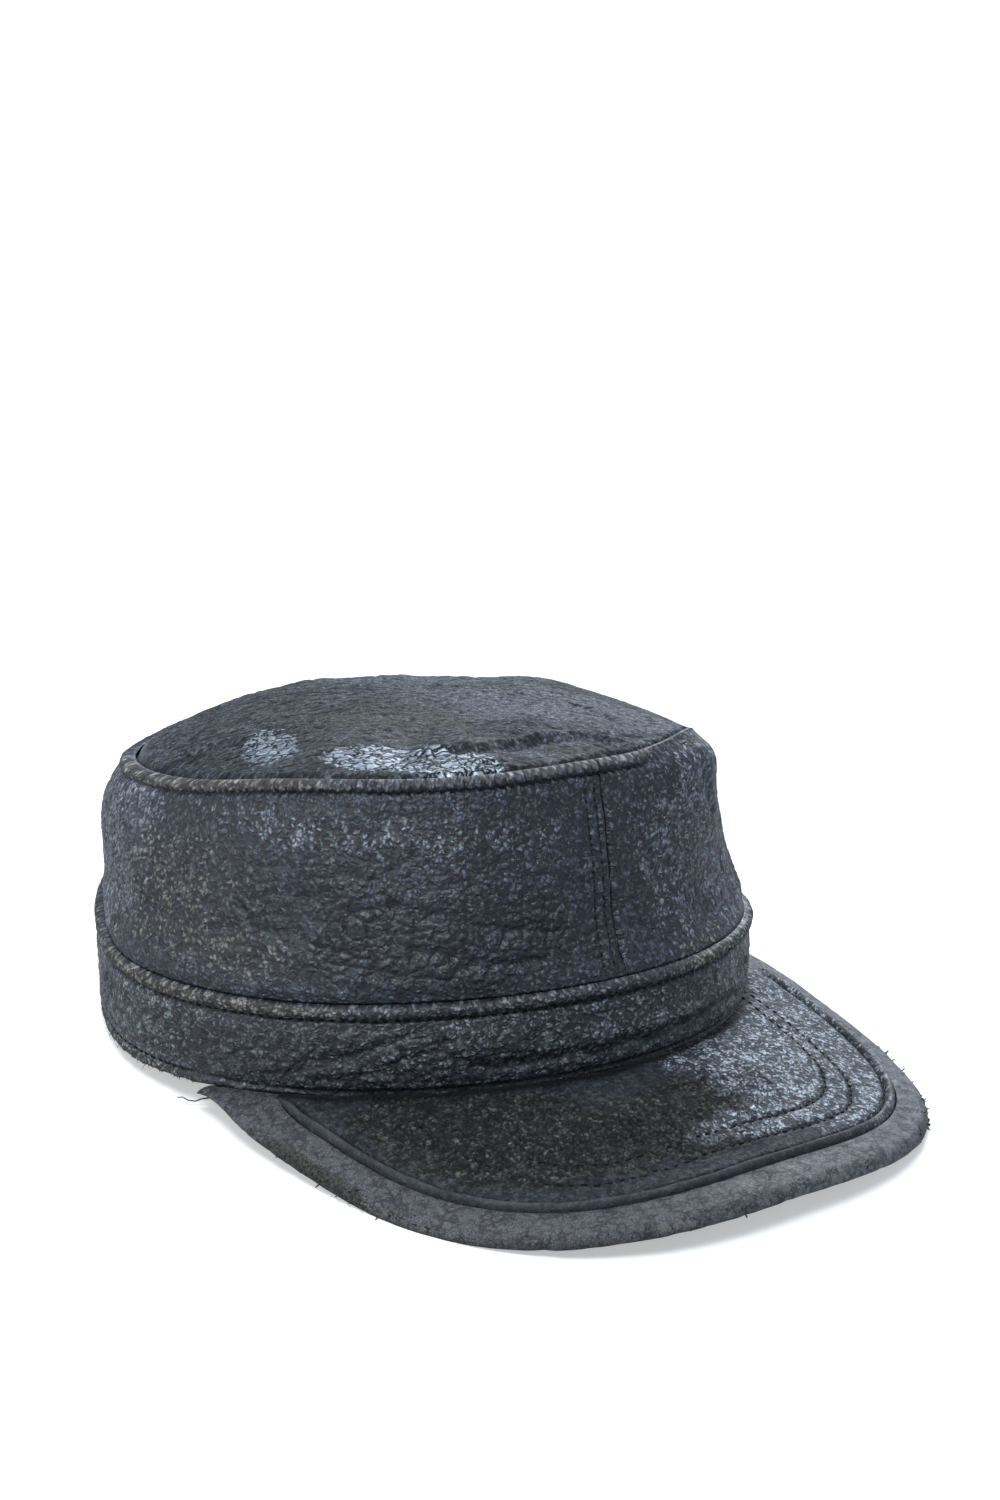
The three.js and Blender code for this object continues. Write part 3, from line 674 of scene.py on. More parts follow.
wall_leather = black_pebbled_leather("black pebbled leather, wall", 0.72, 3.4, 0.5, (0.098, 0.118, 0.162, 1))
panel_skins = {}
for panel_name, side in (("side_panel_right", -1), ("side_panel_left", 1)):
    half_gap = SEAM_GAP / (2 * BAND_RADIUS[0])
    turns = side * np.linspace(half_gap, math.pi - half_gap, PANEL_COLUMNS)
    up_rows = np.linspace(0, 5.6, 10)
    middle_rows = np.linspace(0, 1, 88)
    down_rows = np.linspace(5.7, 0, 24)
    no_rib = rolled(turns[:, None])
    outer, angle, up, down = panel_side(
        turns, up_rows, middle_rows, down_rows, lambda up, down: wall_out(up, down, no_rib)
    )
    degrees = np.degrees(angle)
    u, v = degrees * MM_PER_DEGREE, outer[..., 2]
    wavy_u, wavy_v = u + 1.8 * rumple(outer, 9, 21), v + 1.8 * rumple(outer, 9, 22)
    from_seam = np.degrees(turns[:, None]) * MM_PER_DEGREE + 0 * u
    random_creases = chance_creases(23 + side, 90, (-290, 290), (34, 62), 8, 13, 0.3, 1.2)
    free = np.clip((down - 3.4) / 5, 0, 1) * np.clip((up - 2) / 3, 0, 1)
    relief = free * creased(wavy_u, wavy_v, WALL_CREASES + random_creases)
    relief += free * (0.9 * rumple(outer, 17, 24) + 0.3 * rumple(outer, 7, 25))
    # Painted shade in the valleys of the folds, and along the creases between the grain's swellings
    fold_shade = np.clip(-relief / 1.1 - 0.25, 0, 0.6)
    swelling, line = puffs(wavy_u, wavy_v, 5.0, 2.6, 0.7, 70)
    fine_swelling, fine_line = puffs(u + 0.5 * rumple(outer, 2.4, 26), v, 2.2, 1.6, 0.6, 71)
    wrinkled = 0.35 + 0.65 * spots(degrees, v, [(-34, 45, 46, 17, 0, 1.0), (-84, 46, 26, 20, 0, 0.6)])
    wrinkled *= np.clip(0.75 + 0.6 * rumple(outer, 12, 40), 0.3, 1)
    relief += free * (0.8 * wrinkled * swelling + 0.28 * fine_swelling * (0.4 + 0.6 * wrinkled) - 0.3)
    crease_shade = free * np.maximum(line * wrinkled, fine_line * 0.6 * (0.25 + 0.75 * wrinkled))
    crease_shade = np.maximum(crease_shade, fold_shade)
    along_seam = turns[:, None] * CROWN_RADIUS + 0.5 * rumple(outer, 5, 27)
    bead = 1 - 2 * np.abs(np.cos(math.pi * along_seam / PUCKER)) ** 6
    on_rib = np.exp(-(((down - 1.3) / 1.35) ** 4)) * (1 - no_rib)
    relief += on_rib * (0.42 * bead + 0.25 * rumple(outer, 7, 28) + 0.1 * rumple(outer, 2, 29))
    relief += 0.16 * bead * np.exp(-(((down - 4.4) / 1.4) ** 2)) * (1 - no_rib)
    relief += shoulder(angle) * 1.2 * np.exp(-(((down - 7) / 4.5) ** 2))
    # Painted shade between the beads of the rib and in the hollow under it
    crease_shade = np.maximum(crease_shade, 0.85 * on_rib * np.clip(-bead, 0, 1))
    crease_shade = np.maximum(crease_shade, 0.85 * (1 - no_rib) * np.exp(-(((down - 3.05) / 0.5) ** 2)))
    near_front = np.exp(-((from_seam / 0.9) ** 2)) * free
    beside_front = np.exp(-(((from_seam + 4.2) / 3.9) ** 6)) * free
    relief = np.maximum(relief - 1.1 * near_front + 0.45 * beside_front, -1.0)
    # Painted shade in the stitch rows beside the front seam and down the seam itself
    for beside in FRONT_ROWS:
        dashes = np.clip(0.7 + 0.5 * np.cos(2 * math.pi * v / FRONT_PITCH), 0, 1)
        row = np.exp(-(((from_seam - beside) / 0.55) ** 2)) * free
        relief -= 0.5 * row
        crease_shade = np.maximum(crease_shade, 0.95 * row * dashes)
    crease_shade = np.maximum(crease_shade, np.exp(-((from_seam / 0.7) ** 2)) * free)
    outer = outer + outwards(outer, False) * side * relief[..., None]
    inner, _, _, _ = panel_side(
        turns, np.linspace(0, 5.6, 4), np.linspace(0, 1, 9), np.linspace(5.7, 0, 6),
        lambda up, down: wall_in(up, down, no_rib),
    )
    tan = spots(degrees, v, [(-84, 48, 20, 16, -10, 0.45), (-75, 36, 24, 7, 0, 0.5), (19, 30, 8, 3, 0, 0.7)])
    tan = np.maximum(tan, on_rib * spots(degrees, down, [(-90, 1.5, 42, 6, 0, 1.0)]))
    tan = np.maximum(tan, 0.16 * on_rib)
    # Patches of painted pale blue-grey sheen, mostly on the wall's sides
    painted_sheen = spots(degrees, v, [
        (38, 56, 13, 26, 0, 1.3), (25, 66, 6, 14, 15, 0.9), (90, 60, 40, 26, 0, 0.5),
        (-116, 54, 22, 28, 0, 1.15), (-45, 68, 50, 5, 0, 0.35), (16, 55, 13, 24, 0, 0.5),
    ])
    panel_skins[panel_name] = (outer, from_seam, v)
    panel = cut_piece(
        "leather_" + panel_name, outer, inner, False, u, v,
        {"tan": tan, "painted_sheen": painted_sheen, "crease_shade": crease_shade}, (wall_leather, flesh),
    )
    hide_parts(panel_name)

# Tip: the oval top of the crown, a soft piece of the same hide with its finish long rubbed away. It is
# sewn to the panels' turned edges all round, so its own edge is pulled down into small puckers.
TIP_DOME = 12.6
TIP_INSET = 1.6
TIP_RADIUS = 80
TIP_COLUMNS = 960
TIP_ALONG = (0.77, -0.64, 0)
TIP_ACROSS = (0.64, 0.77, 0)
TIP_FOLDS = (
    (-8, -52, 30, 9, 20, 2.4), (-30, -38, 26, 7, 35, -1.8),
    (24, 28, 34, 20, -30, -2.2), (52, 4, 30, 20, 60, 2.4),
)
TIP_CREASES = [
    (((-36, -47), (-30, -53), (-22, -58.5), (-6, -58.5), (8.6, -62), (17, -69), (19, -76)), -0.8, 2.4),
    (((-34, -55), (-22, -62.5), (-5, -63), (8, -67), (14, -73)), 0.5, 1.8),
    (((-31, -71), (-29, -71.5)), 1.6, 2.6),
    (((-62, 20), (-57, 11), (-55, 6)), 1.3, 2.4),
    (((24, -60), (32, -48), (34, -30)), 0.6, 2.0),
    (((-60, 10), (-55, -6), (-46, -22)), 0.35, 1.6),
    (((-20, 30), (6, 24), (30, 30)), 0.7, 3.0),
    (((10, 60), (34, 50), (52, 34)), 0.6, 3.0),
    (((-56, 44), (-40, 54), (-18, 60)), 0.6, 2.6),
] + chance_creases(31, 80, (-75, 75), (-80, 75), -20, 12, 0.22, 1.3)


def tip_top(angle, part):
    """The tip's dome with its broad folds, where part goes from 0 in the middle to 1 at the seam."""
    radius = (round_the_head(SEAM_RADIUS, angle) - TIP_INSET - 1.9 * rolled(angle)) * part
    x, y = radius * np.sin(angle), TIP_CENTRE_Y - radius * np.cos(angle)
    middle = sum(SEAM_HEIGHT) / len(SEAM_HEIGHT)
    rim = middle + (round_the_head(SEAM_HEIGHT, angle) - middle) * part**2
    folds = swells(x, y, TIP_FOLDS)
    corner = 1.9 * shoulder(angle) * np.clip((part - 0.82) / 0.18, 0, 1) ** 2
    return x, y, rim + TIP_DOME * (1 - part**2.2) + folds * (1 - part**6) + corner


def tip_surface(angle, part):
    """The tip's outer side: folds and small creases, and puckers beside its seam."""
    x, y, z = tip_top(angle, part)
    flat = np.stack([x, y, 0 * x], -1)
    inset = (1 - part) * TIP_RADIUS
    free = np.clip((inset - 1) / 5, 0, 1)
    z = z + free * creased(x + 1.6 * rumple(flat, 9, 32), y + 1.6 * rumple(flat, 9, 33), TIP_CREASES)
    z = z + free * (0.7 * rumple(flat, 16, 34) + 0.28 * rumple(flat, 6, 35) + 0.12 * rumple(flat, 2.6, 36))
    along = TIP_ALONG[0] * x + TIP_ALONG[1] * y + rumple(flat, 6, 38)
    swelling, _ = puffs(along, TIP_ACROSS[0] * x + TIP_ACROSS[1] * y, 6.0, 3.6, 0.8, 80)
    z = z + free * 0.35 * swelling
    bead = 1 - 2 * np.abs(np.cos(math.pi * (angle * CROWN_RADIUS + 0.6 * rumple(flat, 5, 37)) / PUCKER)) ** 4
    z = z + 0.16 * bead * np.exp(-(((inset - 1.8) / 1.8) ** 2))
    z = z - 2.4 * np.exp(-((inset / 0.95) ** 2)) + 0.2 * np.exp(-(((inset - 3) / 1.6) ** 2))
    return np.stack([x, y, z], -1)


def ring_faces(outside, inside):
    """Faces between two rings of points, where the inside one has as many points or half as many."""
    a, b = np.array(outside), np.array(inside)
    after_a, after_b = np.roll(a, -1), np.roll(b, -1)
    if len(a) == len(b):
        return np.stack([a, after_a, after_b, b], 1).tolist()
    first, middle, last = a[::2], a[1::2], np.roll(a[::2], -1)
    faces = np.concatenate([
        np.stack([first, middle, b], 1),
        np.stack([middle, after_b, b], 1),
        np.stack([middle, last, after_b], 1),
    ])
    return faces.tolist()


def disc_rings(count, parts, halve_below):
    """Rings of points for a disc, whose count is halved each time the disc gets narrow."""
    rings = []
    for part in parts:
        while len(rings) and count > 12 and halve_below and part < halve_below[0]:
            count //= 2
            halve_below = halve_below[1:]
        rings.append((count, part))
    return rings


top_parts = np.concatenate([np.linspace(1, 0.93, 15), np.linspace(0.922, 0.02, 100)])
top_rings = disc_rings(TIP_COLUMNS, top_parts, [0.46, 0.23, 0.11, 0.05])
under_parts = (1.0, 0.985, 0.96, 0.9, 0.8, 0.65, 0.5, 0.35, 0.2, 0.05)
under_rings = disc_rings(TIP_COLUMNS, under_parts, [0.99, 0.97, 0.95, 0.6])
points, faces = [], []
for is_top, rings in ((True, top_rings), (False, under_rings)):
    previous = None if is_top else rim_ring
    for number, (count, part) in enumerate(rings):
        angle = np.linspace(-math.pi, math.pi, count, endpoint=False)
        if is_top:
            ring = tip_surface(angle, np.full(count, part))
        else:
            ring = np.stack(tip_top(angle, np.full(count, part)), -1)
            ring[:, 2] -= TIP_LEATHER
        first = sum(len(p) for p in points)
        points.append(ring)
        ids = np.arange(first, first + count)
        if number == 0 and is_top:
            rim_ring = ids
        if previous is not None:
            made = ring_faces(previous, ids)
            faces += made if is_top else [f[::-1] for f in made]
        previous = ids
    if is_top:
        faces.append(previous.tolist())
        outside_until = len(faces) + TIP_COLUMNS
    else:
        faces.append(previous[::-1].tolist())
points = np.concatenate(points)


def tip_leather():
    """Grey hide with its finish rubbed away: suede-like olive streaks, flaking shiny finish in two patches
    whose flakes are coloured as painted highlights, patches of painted blue-grey sheen, painted light on the
    tops of the grain, painted shade in its crevices, and a paler edge towards the back on the wearer's left.
    """
    material, tree, shader, where = new_finish("rubbed leather, tip")
    along = vector(tree, "DOT_PRODUCT", where, TIP_ALONG, "Value")
    across = vector(tree, "DOT_PRODUCT", where, TIP_ACROSS, "Value")
    turned = place(tree, "ShaderNodeCombineXYZ", {0: along, 1: across, 2: 0.0}).outputs[0]
    grain = grain_at(tree, turned, 0.8, 3.2, 2.2, 2.6)
    fibres = noise(tree, stretch(tree, turned, (0.78, 1.0, 1.0)), 0.85, 6.0, 0.78)
    mottle = noise(tree, stretch(tree, turned, (0.7, 1.0, 1.0)), 0.13, 7.0, 0.72)
    ragged = noise(tree, turned, 0.4, 4.0, 0.65)
    broad = noise(tree, turned, 0.045, 3.0, 0.5)
    edge_of = times_plus(tree, reckon(tree, "ADD", ragged, mottle), 0.95, mask_of(tree, "gloss_and_highlight"))
    gloss_and_highlight = ramp(tree, edge_of, 1.34, 1.41)
    dusty = mask_of(tree, "tan")
    tan = ramp(tree, reckon(tree, "ADD", fibres, dusty), 0.8, 1.1)
    tan = times(tree, tan, ramp(tree, dusty, 0.0, 0.3))
    # Patches of painted blue-grey sheen
    painted_sheen = ramp(tree, reckon(tree, "ADD", mottle, mask_of(tree, "painted_sheen")), 0.58, 1.0)
    # Painted light on the tops of the grain, mixed with random mottling
    lit_lumps = ramp(tree, grain["Height"], 0.1, 0.9, 0.35, 1.0)
    lit_lumps = times(tree, ramp(tree, fibres, 0.36, 0.64), lit_lumps)
    lit_level = times(tree, lit_lumps, ramp(tree, mottle, 0.36, 0.58, 0.15, 1.15))
    colour = tint(tree, lit_level, (0.009, 0.011, 0.013, 1), (0.17, 0.2, 0.24, 1))
    bluish = tint(tree, lit_lumps, (0.03, 0.037, 0.046, 1), (0.26, 0.305, 0.37, 1))
    colour = tint(tree, times(tree, painted_sheen, 0.85), colour, bluish)
    olive = tint(tree, lit_lumps, (0.016, 0.017, 0.014, 1), (0.15, 0.148, 0.12, 1))
    colour = tint(tree, times(tree, tan, 0.8), colour, olive)
    # Painted shade in the crevices of the grain
    colour = tint(tree, times(tree, grain["Crevice Shade"], 0.85), colour, (0.004, 0.005, 0.006, 1))
    # Shiny flakes coloured pale as painted highlights, with dark cracks between them
    flakes_at = stretch(tree, swirled(tree, turned, 0.35, 2.0, 3.5), (0.29, 0.54, 0.54))
    _, gaps, flake_colour = cells(tree, flakes_at, 1.0)
    flake_tone = channel(tree, flake_colour, 0)
    black_gap = ramp(tree, gaps, 0.03, 0.13, 1.0, 0.0)
    shell = tint(tree, flake_tone, (0.16, 0.19, 0.225, 1), (0.36, 0.41, 0.47, 1))
    shell = tint(tree, ramp(tree, fibres, 0.45, 0.65, 0.0, 0.6), shell, (0.08, 0.1, 0.125, 1))
    shell = tint(tree, black_gap, shell, (0.003, 0.0035, 0.004, 1))
    colour = tint(tree, gloss_and_highlight, colour, shell)
    colour = tint(tree, times(tree, mask_of(tree, "edge"), 0.6), colour, (0.24, 0.27, 0.3, 1))
    bare = one_minus(tree, gloss_and_highlight)
    shine = times(tree, ramp(tree, broad, 0.35, 0.65, 0.52, 0.64), bare)
    shine = times_plus(tree, times_plus(tree, flake_tone, 0.2, 0.3), gloss_and_highlight, shine)
    flake = times(tree, one_minus(tree, black_gap), gloss_and_highlight)
    polish = times_plus(tree, flake, 0.55, times(tree, lit_level, 0.25), clamp=True)
    rough = times_plus(tree, fibres, 0.8, times(tree, grain["Height"], 0.5))
    height = times(tree, rough, bare)
    height = times_plus(tree, ramp(tree, gaps, 0.0, 0.2, 0.0, 0.9), gloss_and_highlight, height)
    finish_leather(tree, shader, colour, shine, polish, height, 0.8, sheen=0.15)
    return material


mesh = bpy.data.meshes.new("leather_crown_tip")
mesh.from_pydata(lay_down(points).tolist(), [], faces)
mesh.polygons.foreach_set("use_smooth", np.ones(len(faces), bool))
mesh.polygons.foreach_set("material_index", [0] * outside_until + [1] * (len(faces) - outside_until))
flat = points[np.concatenate([np.array(f) for f in faces])][:, :2] * FLAT_UNITS_PER_MM
mesh.uv_layers.new(name="flat leather").data.foreach_set("uv", flat.ravel())
x, y = points[:, 0], points[:, 1]
reach_now = np.hypot(x, y - TIP_CENTRE_Y) / round_the_head(SEAM_RADIUS, np.arctan2(x, TIP_CENTRE_Y - y))
tip_paint = {
    # Where the finish is shiny, with painted highlights on its flakes
    "gloss_and_highlight": spots(x, y, [
        (-55, -9, 17, 8, 62, 0.85), (-44, -46, 19, 11, -54, 0.9), (-35, -65, 13, 7.5, -54, 0.9),
    ]),
    "tan": spots(x, y, [
        (-24, -14, 40, 26, -40, 0.55), (-13, -34, 9, 3, -30, 0.9), (-30, 30, 30, 18, 0, 0.4),
    ]),
    # Patches of painted blue-grey sheen
    "painted_sheen": spots(x, y, [(24, -34, 42, 26, -40, 0.75), (30, 30, 40, 40, 0, 0.4), (-5, -65, 30, 8, -10, 0.3)]),
    "edge": np.clip((reach_now - 0.93) / 0.03, 0, 1) * np.clip((y + x * 0.5) / 40, 0, 1),
}
for mask, values in tip_paint.items():
    mesh.attributes.new(mask, "FLOAT", "POINT").data.foreach_set("value", values)
mesh.update()
mesh.materials.append(tip_leather())
mesh.materials.append(flesh)
tip = bpy.data.objects.new("leather_crown_tip", mesh)
bpy.context.scene.collection.objects.link(tip)
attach(tip, "root")
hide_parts("crown_tip")

# Peak: a top leather over a stiff underside, with a ridge raised beside the seam of the edge strip. The top
# is rubbed to a dark olive suede, and on the wearer's left it keeps a cracked, shiny finish whose grain tops
# carry painted pale highlights; painted shade lies in its grooves, creases and stitch rows.
PEAK_CENTRE = (0.8, -31)
PEAK_OUTLINE = {"right": 96.0, "left": 101.4, "length": 126.4, "power": 2.72}
PEAK_RIDGE = {"right": 87.0, "left": 92.8, "length": 116.4, "power": 2.87}
OUTER_ROW = {"right": 66.0, "left": 67.5, "length": 106.0, "power": 4.0}
INNER_ROW = {"right": 61.0, "left": 62.5, "length": 99.0, "power": 4.0}
RIDGE_WIDTH = 5.6
RIDGE_STITCHES = 3.35
ROOT_TUCK = 1.4
STRIP_TUCK = 1.6
FAR_INSIDE = 99.0
RIDGE_TUCK = 95
RIDGE_TUCK_FROM = math.radians(66)
PEAK_WAVES = ((-82, -105, 28, 28, 0, -1.4), (-45, -150, 30, 14, 10, 0.6), (-95, -34, 12, 16, 0, 2.3))
PEAK_THICKNESS = 4.8
PEAK_END = math.radians(91)
TOP_END = math.radians(77)
UNDERSIDE_END = math.radians(80)
PEAK_TOP_LEATHER = 1.5
EDGE_LEATHER = 1.3
RIDGE_LINE = {
    "inwards": (0, 0.3, 0.75, 1.2, 1.7, 2.25, 2.75, 3.3, 4.2, 5.6),
    "rise": (-1.2, -0.3, 0.8, 1.2, 1.2, 0.8, 0.0, -0.7, -0.2, 0),
}
PEAK_CREASES = [
    (((-40, -101), (-35, -108), (-29, -113)), 0.6, 1.4),
    (((-34, -112), (-29, -120), (-27, -128)), 0.45, 1.2),
    (((44, -96), (52, -108), (50, -122)), 0.3, 1.6),
    (((-66, -80), (-58, -92), (-48, -101)), 0.3, 1.6),
] + chance_creases(41, 60, (-85, 85), (-145, -60), -30, 9, 0.16, 1.1)


def reach(outline, direction):
    """Distance from the peak's centre to an outline, in a direction measured from straight ahead."""
    side = np.where(direction < 0, outline["right"], outline["left"])
    across = np.abs(np.sin(direction) / side) ** outline["power"]
    ahead = np.abs(np.cos(direction) / outline["length"]) ** outline["power"]
    return (across + ahead) ** (-1 / outline["power"])


def ridge_reach(direction):
    return reach(PEAK_RIDGE, direction) - RIDGE_TUCK * np.maximum(-direction - RIDGE_TUCK_FROM, 0) ** 2


def peak_plan(direction, distance):
    return PEAK_CENTRE[0] + distance * np.sin(direction), PEAK_CENTRE[1] - distance * np.cos(direction)


def band_reach(direction):
    """Distance from the peak's centre to the outside of the band."""
    near, far = np.zeros_like(direction), np.full_like(direction, 127.0)
    for _ in range(24):
        middle = (near + far) / 2
        x, y = peak_plan(direction, middle)
        inside = np.hypot(x, y) < round_the_head(BAND_RADIUS, np.arctan2(x, -y)) + 0.5
        near, far = np.where(inside, middle, near), np.where(inside, far, middle)
    return far


def rim_reach(direction, band):
    end = np.maximum(np.abs(direction) - math.radians(72), 0) / math.radians(19)
    return reach(PEAK_OUTLINE, direction) * (1 - end**3) + (band + 2.6) * end**3


def peak_point(direction, distance, depth):
    """A point of the peak, which thins out where its two ends run in under the band."""
    x, y = peak_plan(direction, distance)
    thinner = 1 - 0.75 * np.clip((np.abs(direction) - math.radians(68)) / math.radians(23), 0, 1)
    return np.stack([x, y, peak_slope(x, y) + swells(x, y, PEAK_WAVES) - depth * thinner], -1)


def peak_leather():
    """Olive suede with short fibres, shading into a cracked, shiny blue-grey finish on the wearer's left,
    whose grain tops carry painted pale highlights; painted light on the tops of the grain and crust, and
    painted shade in the grooves, creases and stitch rows.
    """
    material, tree, shader, where = new_finish("rubbed leather, peak")
    grain = grain_at(tree, where, 0.95, 3.6, 2.6, 3.0)
    nap = noise(tree, where, 0.62, 6.0, 0.76)
    mottle = noise(tree, where, 0.13, 7.0, 0.7)
    # The shiny patches, where the grain tops carry painted pale highlights
    gloss_and_highlight = ramp(tree, times_plus(tree, mottle, 1.1, mask_of(tree, "gloss_and_highlight")), 0.85, 1.2)
    crust = ramp(tree, times_plus(tree, mottle, 1.1, mask_of(tree, "crust")), 0.8, 1.15)
    row = mask_of(tree, "shaded stitch row")
    lit_crest = mask_of(tree, "lit_crest")
    # Painted light on the tops of the grain
    lit_lumps = ramp(tree, grain["Height"], 0.15, 0.8, 0.25, 1.0)
    lit_lumps = times(tree, ramp(tree, nap, 0.38, 0.64), lit_lumps)
    colour = tint(tree, lit_lumps, (0.011, 0.013, 0.017, 1), (0.07, 0.08, 0.1, 1))
    speckle = noise(tree, where, 1.35, 4.0, 0.7)
    # Painted light on the crests of the crust, with painted shade down between them
    lit_knobs = times(tree, ramp(tree, nap, 0.4, 0.6), ramp(tree, lit_crest, 0.1, 0.9, 0.4, 1.0))
    lit_knobs = times(tree, lit_knobs, ramp(tree, speckle, 0.4, 0.6, 0.15, 1.0))
    patches = noise(tree, where, 0.3, 3.0, 0.6)
    lit_knobs = times(tree, lit_knobs, ramp(tree, patches, 0.4, 0.6, 0.3, 1.25))
    crusty = tint(tree, lit_knobs, (0.0035, 0.004, 0.004, 1), (0.15, 0.155, 0.138, 1))
    colour = tint(tree, crust, colour, crusty)
    # Painted pale blue-grey highlights on the grain tops in the shiny patches
    top = ramp(tree, grain["Height"], 0.35, 0.8)
    top = times(tree, top, ramp(tree, nap, 0.35, 0.55, 0.3, 1.0))
    shell = tint(tree, top, (0.024, 0.029, 0.036, 1), (0.56, 0.63, 0.72, 1))
    colour = tint(tree, gloss_and_highlight, colour, shell)
    ridge = mask_of(tree, "ridge")
    colour = tint(tree, times(tree, ridge, 0.7), colour, (0.05, 0.053, 0.055, 1))
    # Painted shade in the stitch rows and the grooves
    colour = tint(tree, times(tree, row, 0.95), colour, (0.004, 0.004, 0.005, 1))
    colour = tint(tree, mask_of(tree, "shaded_groove"), colour, (0.001, 0.0012, 0.0016, 1))
    bare = one_minus(tree, gloss_and_highlight)
    shine = times(tree, ramp(tree, nap, 0.3, 0.7, 0.7, 0.58), bare)
    shine = times_plus(tree, times_plus(tree, grain["Grain Tone"], 0.2, 0.36), gloss_and_highlight, shine)
    polish = times(tree, times(tree, top, gloss_and_highlight), 0.45)
    polish = times_plus(tree, lit_lumps, 0.1, polish, clamp=True)
    height = times_plus(tree, grain["Height"], 0.5, times(tree, nap, 0.8))
    height = times(tree, height, times_plus(tree, ridge, -0.8, 1.0))
    height = reckon(tree, "SUBTRACT", height, times(tree, row, 0.6))
    finish_leather(tree, shader, colour, shine, polish, height, 0.75, sheen=0.2)
    return material


directions = np.linspace(-TOP_END, TOP_END, 560)[:, None]
band_at, seam_at = band_reach(directions), ridge_reach(directions)
ridge_rows = np.linspace(0.15, RIDGE_WIDTH, 18)
field_rows = np.linspace(1, 0, 107)[1:]
squeeze = np.minimum((seam_at - band_at - 1) / RIDGE_WIDTH, 1)
field_from = seam_at - RIDGE_WIDTH * squeeze
root_at = band_at - ROOT_TUCK
field_at = root_at + (field_from - root_at) * field_rows
distance = np.concatenate([seam_at - ridge_rows * squeeze, field_at], 1)
rise = np.concatenate([follow(RIDGE_LINE["inwards"], RIDGE_LINE["rise"], ridge_rows), 0 * field_rows])
wide = directions + 0 * distance
outer = peak_point(wide, distance, -rise[None, :] * squeeze)
inwards = np.concatenate([ridge_rows, np.full(len(field_rows), FAR_INSIDE)])[None, :] + 0 * distance
x, y = outer[..., 0], outer[..., 1]
free = np.clip((field_from - distance) / 3, 0, 1)
relief = free * creased(x + 1.2 * rumple(outer, 7, 42), y + 1.2 * rumple(outer, 7, 43), PEAK_CREASES)
relief += free * (0.45 * rumple(outer, 13, 44) + 0.2 * rumple(outer, 5, 45) + 0.1 * rumple(outer, 2.2, 46))
on_ridge = np.exp(-(((inwards - 1.5) / 1.25) ** 4))
shaded_groove = np.exp(-(((inwards - RIDGE_STITCHES) / 0.5) ** 2)) + np.exp(-((inwards / 0.5) ** 2))
relief += on_ridge * (0.22 * rumple(outer, 7, 47) + 0.12 * rumple(outer, 2.5, 48)) - 0.35 * shaded_groove
crust = spots(x, y, [
    (-50, -102, 42, 22, -50, 0.9), (-16, -123, 30, 14, -20, 1.0),
    (8, -116, 26, 12, 0, 0.9), (-66, -80, 14, 12, 0, 0.7),
])
swelling, line = puffs(x + 0.8 * rumple(outer, 3, 73), y + 0.8 * rumple(outer, 3, 74), 1.9, 1.5, 0.7, 75)
clumps = np.clip(1.1 * rumple(outer, 6, 76) + 0.8 * rumple(outer, 2.5, 77) + 0.5, 0, 1)
crumbs = free * crust * 0.4 * rumple(outer, 1.7, 72)
relief += free * (0.15 + 0.75 * crust * clumps) * (swelling - 0.5) + crumbs
# Painted shade in the creases between the crust's swellings
pit_shade = free * line * (0.25 + 0.75 * crust) * (0.3 + 0.7 * clumps)
out_row = distance - reach(OUTER_ROW, wide)
in_row = distance - reach(INNER_ROW, wide)
stitch_row = np.exp(-((out_row / 0.8) ** 2)) + np.exp(-((in_row / 0.8) ** 2))
stitch_row = stitch_row * spots(x, y, [(36, -120, 50, 34, 30, 1.0), (-40, -120, 50, 34, -30, 0.35)])
relief -= 0.5 * stitch_row
outer[..., 2] += relief
inner_at = seam_at + (root_at - seam_at) * np.linspace(0, 1, 9)
inner = peak_point(directions + 0 * inner_at, inner_at, PEAK_TOP_LEATHER)
peak_paint = {
    # Shiny patches, with painted highlights on their grain tops
    "gloss_and_highlight": spots(x, y, [
        (50, -106, 48, 38, -50, 1.1), (78, -70, 30, 18, 80, 1.0), (14, -130, 30, 9, 0, 0.7),
    ]),
    "crust": crust,
    # Painted shade in the grooves beside the ridge, between the crust's swellings and in the joint under the
    # band
    "shaded_groove": np.clip(np.maximum(shaded_groove, pit_shade) + 0.9 * np.exp(-(((distance - band_at) / 1.5) ** 2)), 0, 1),
    "ridge": on_ridge * (0.65 + 0.35 * rumple(outer, 9, 49)),
    # Where the crests of the crust carry painted light
    "lit_crest": free * swelling * (0.35 + 0.65 * clumps),
    # Painted shade in the stitch rows
    "shaded stitch row": stitch_row,
}
peak_skin = (outer, x, y)
peak_top = cut_piece(
    "leather_peak_top", outer, inner, False, wide * 100, distance, peak_paint, (peak_leather(), flesh)
)
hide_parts("peak_top")

# Edge strip: a smoother, thinner leather bound over the rim of the peak and glued under it. The rim is
# worn through to a pale tan line, and its cut edges are frayed.
TURNED_UNDER = 12
TOP_ROWS = 22
RIM_ROWS = 19
WORN_ROW = 29


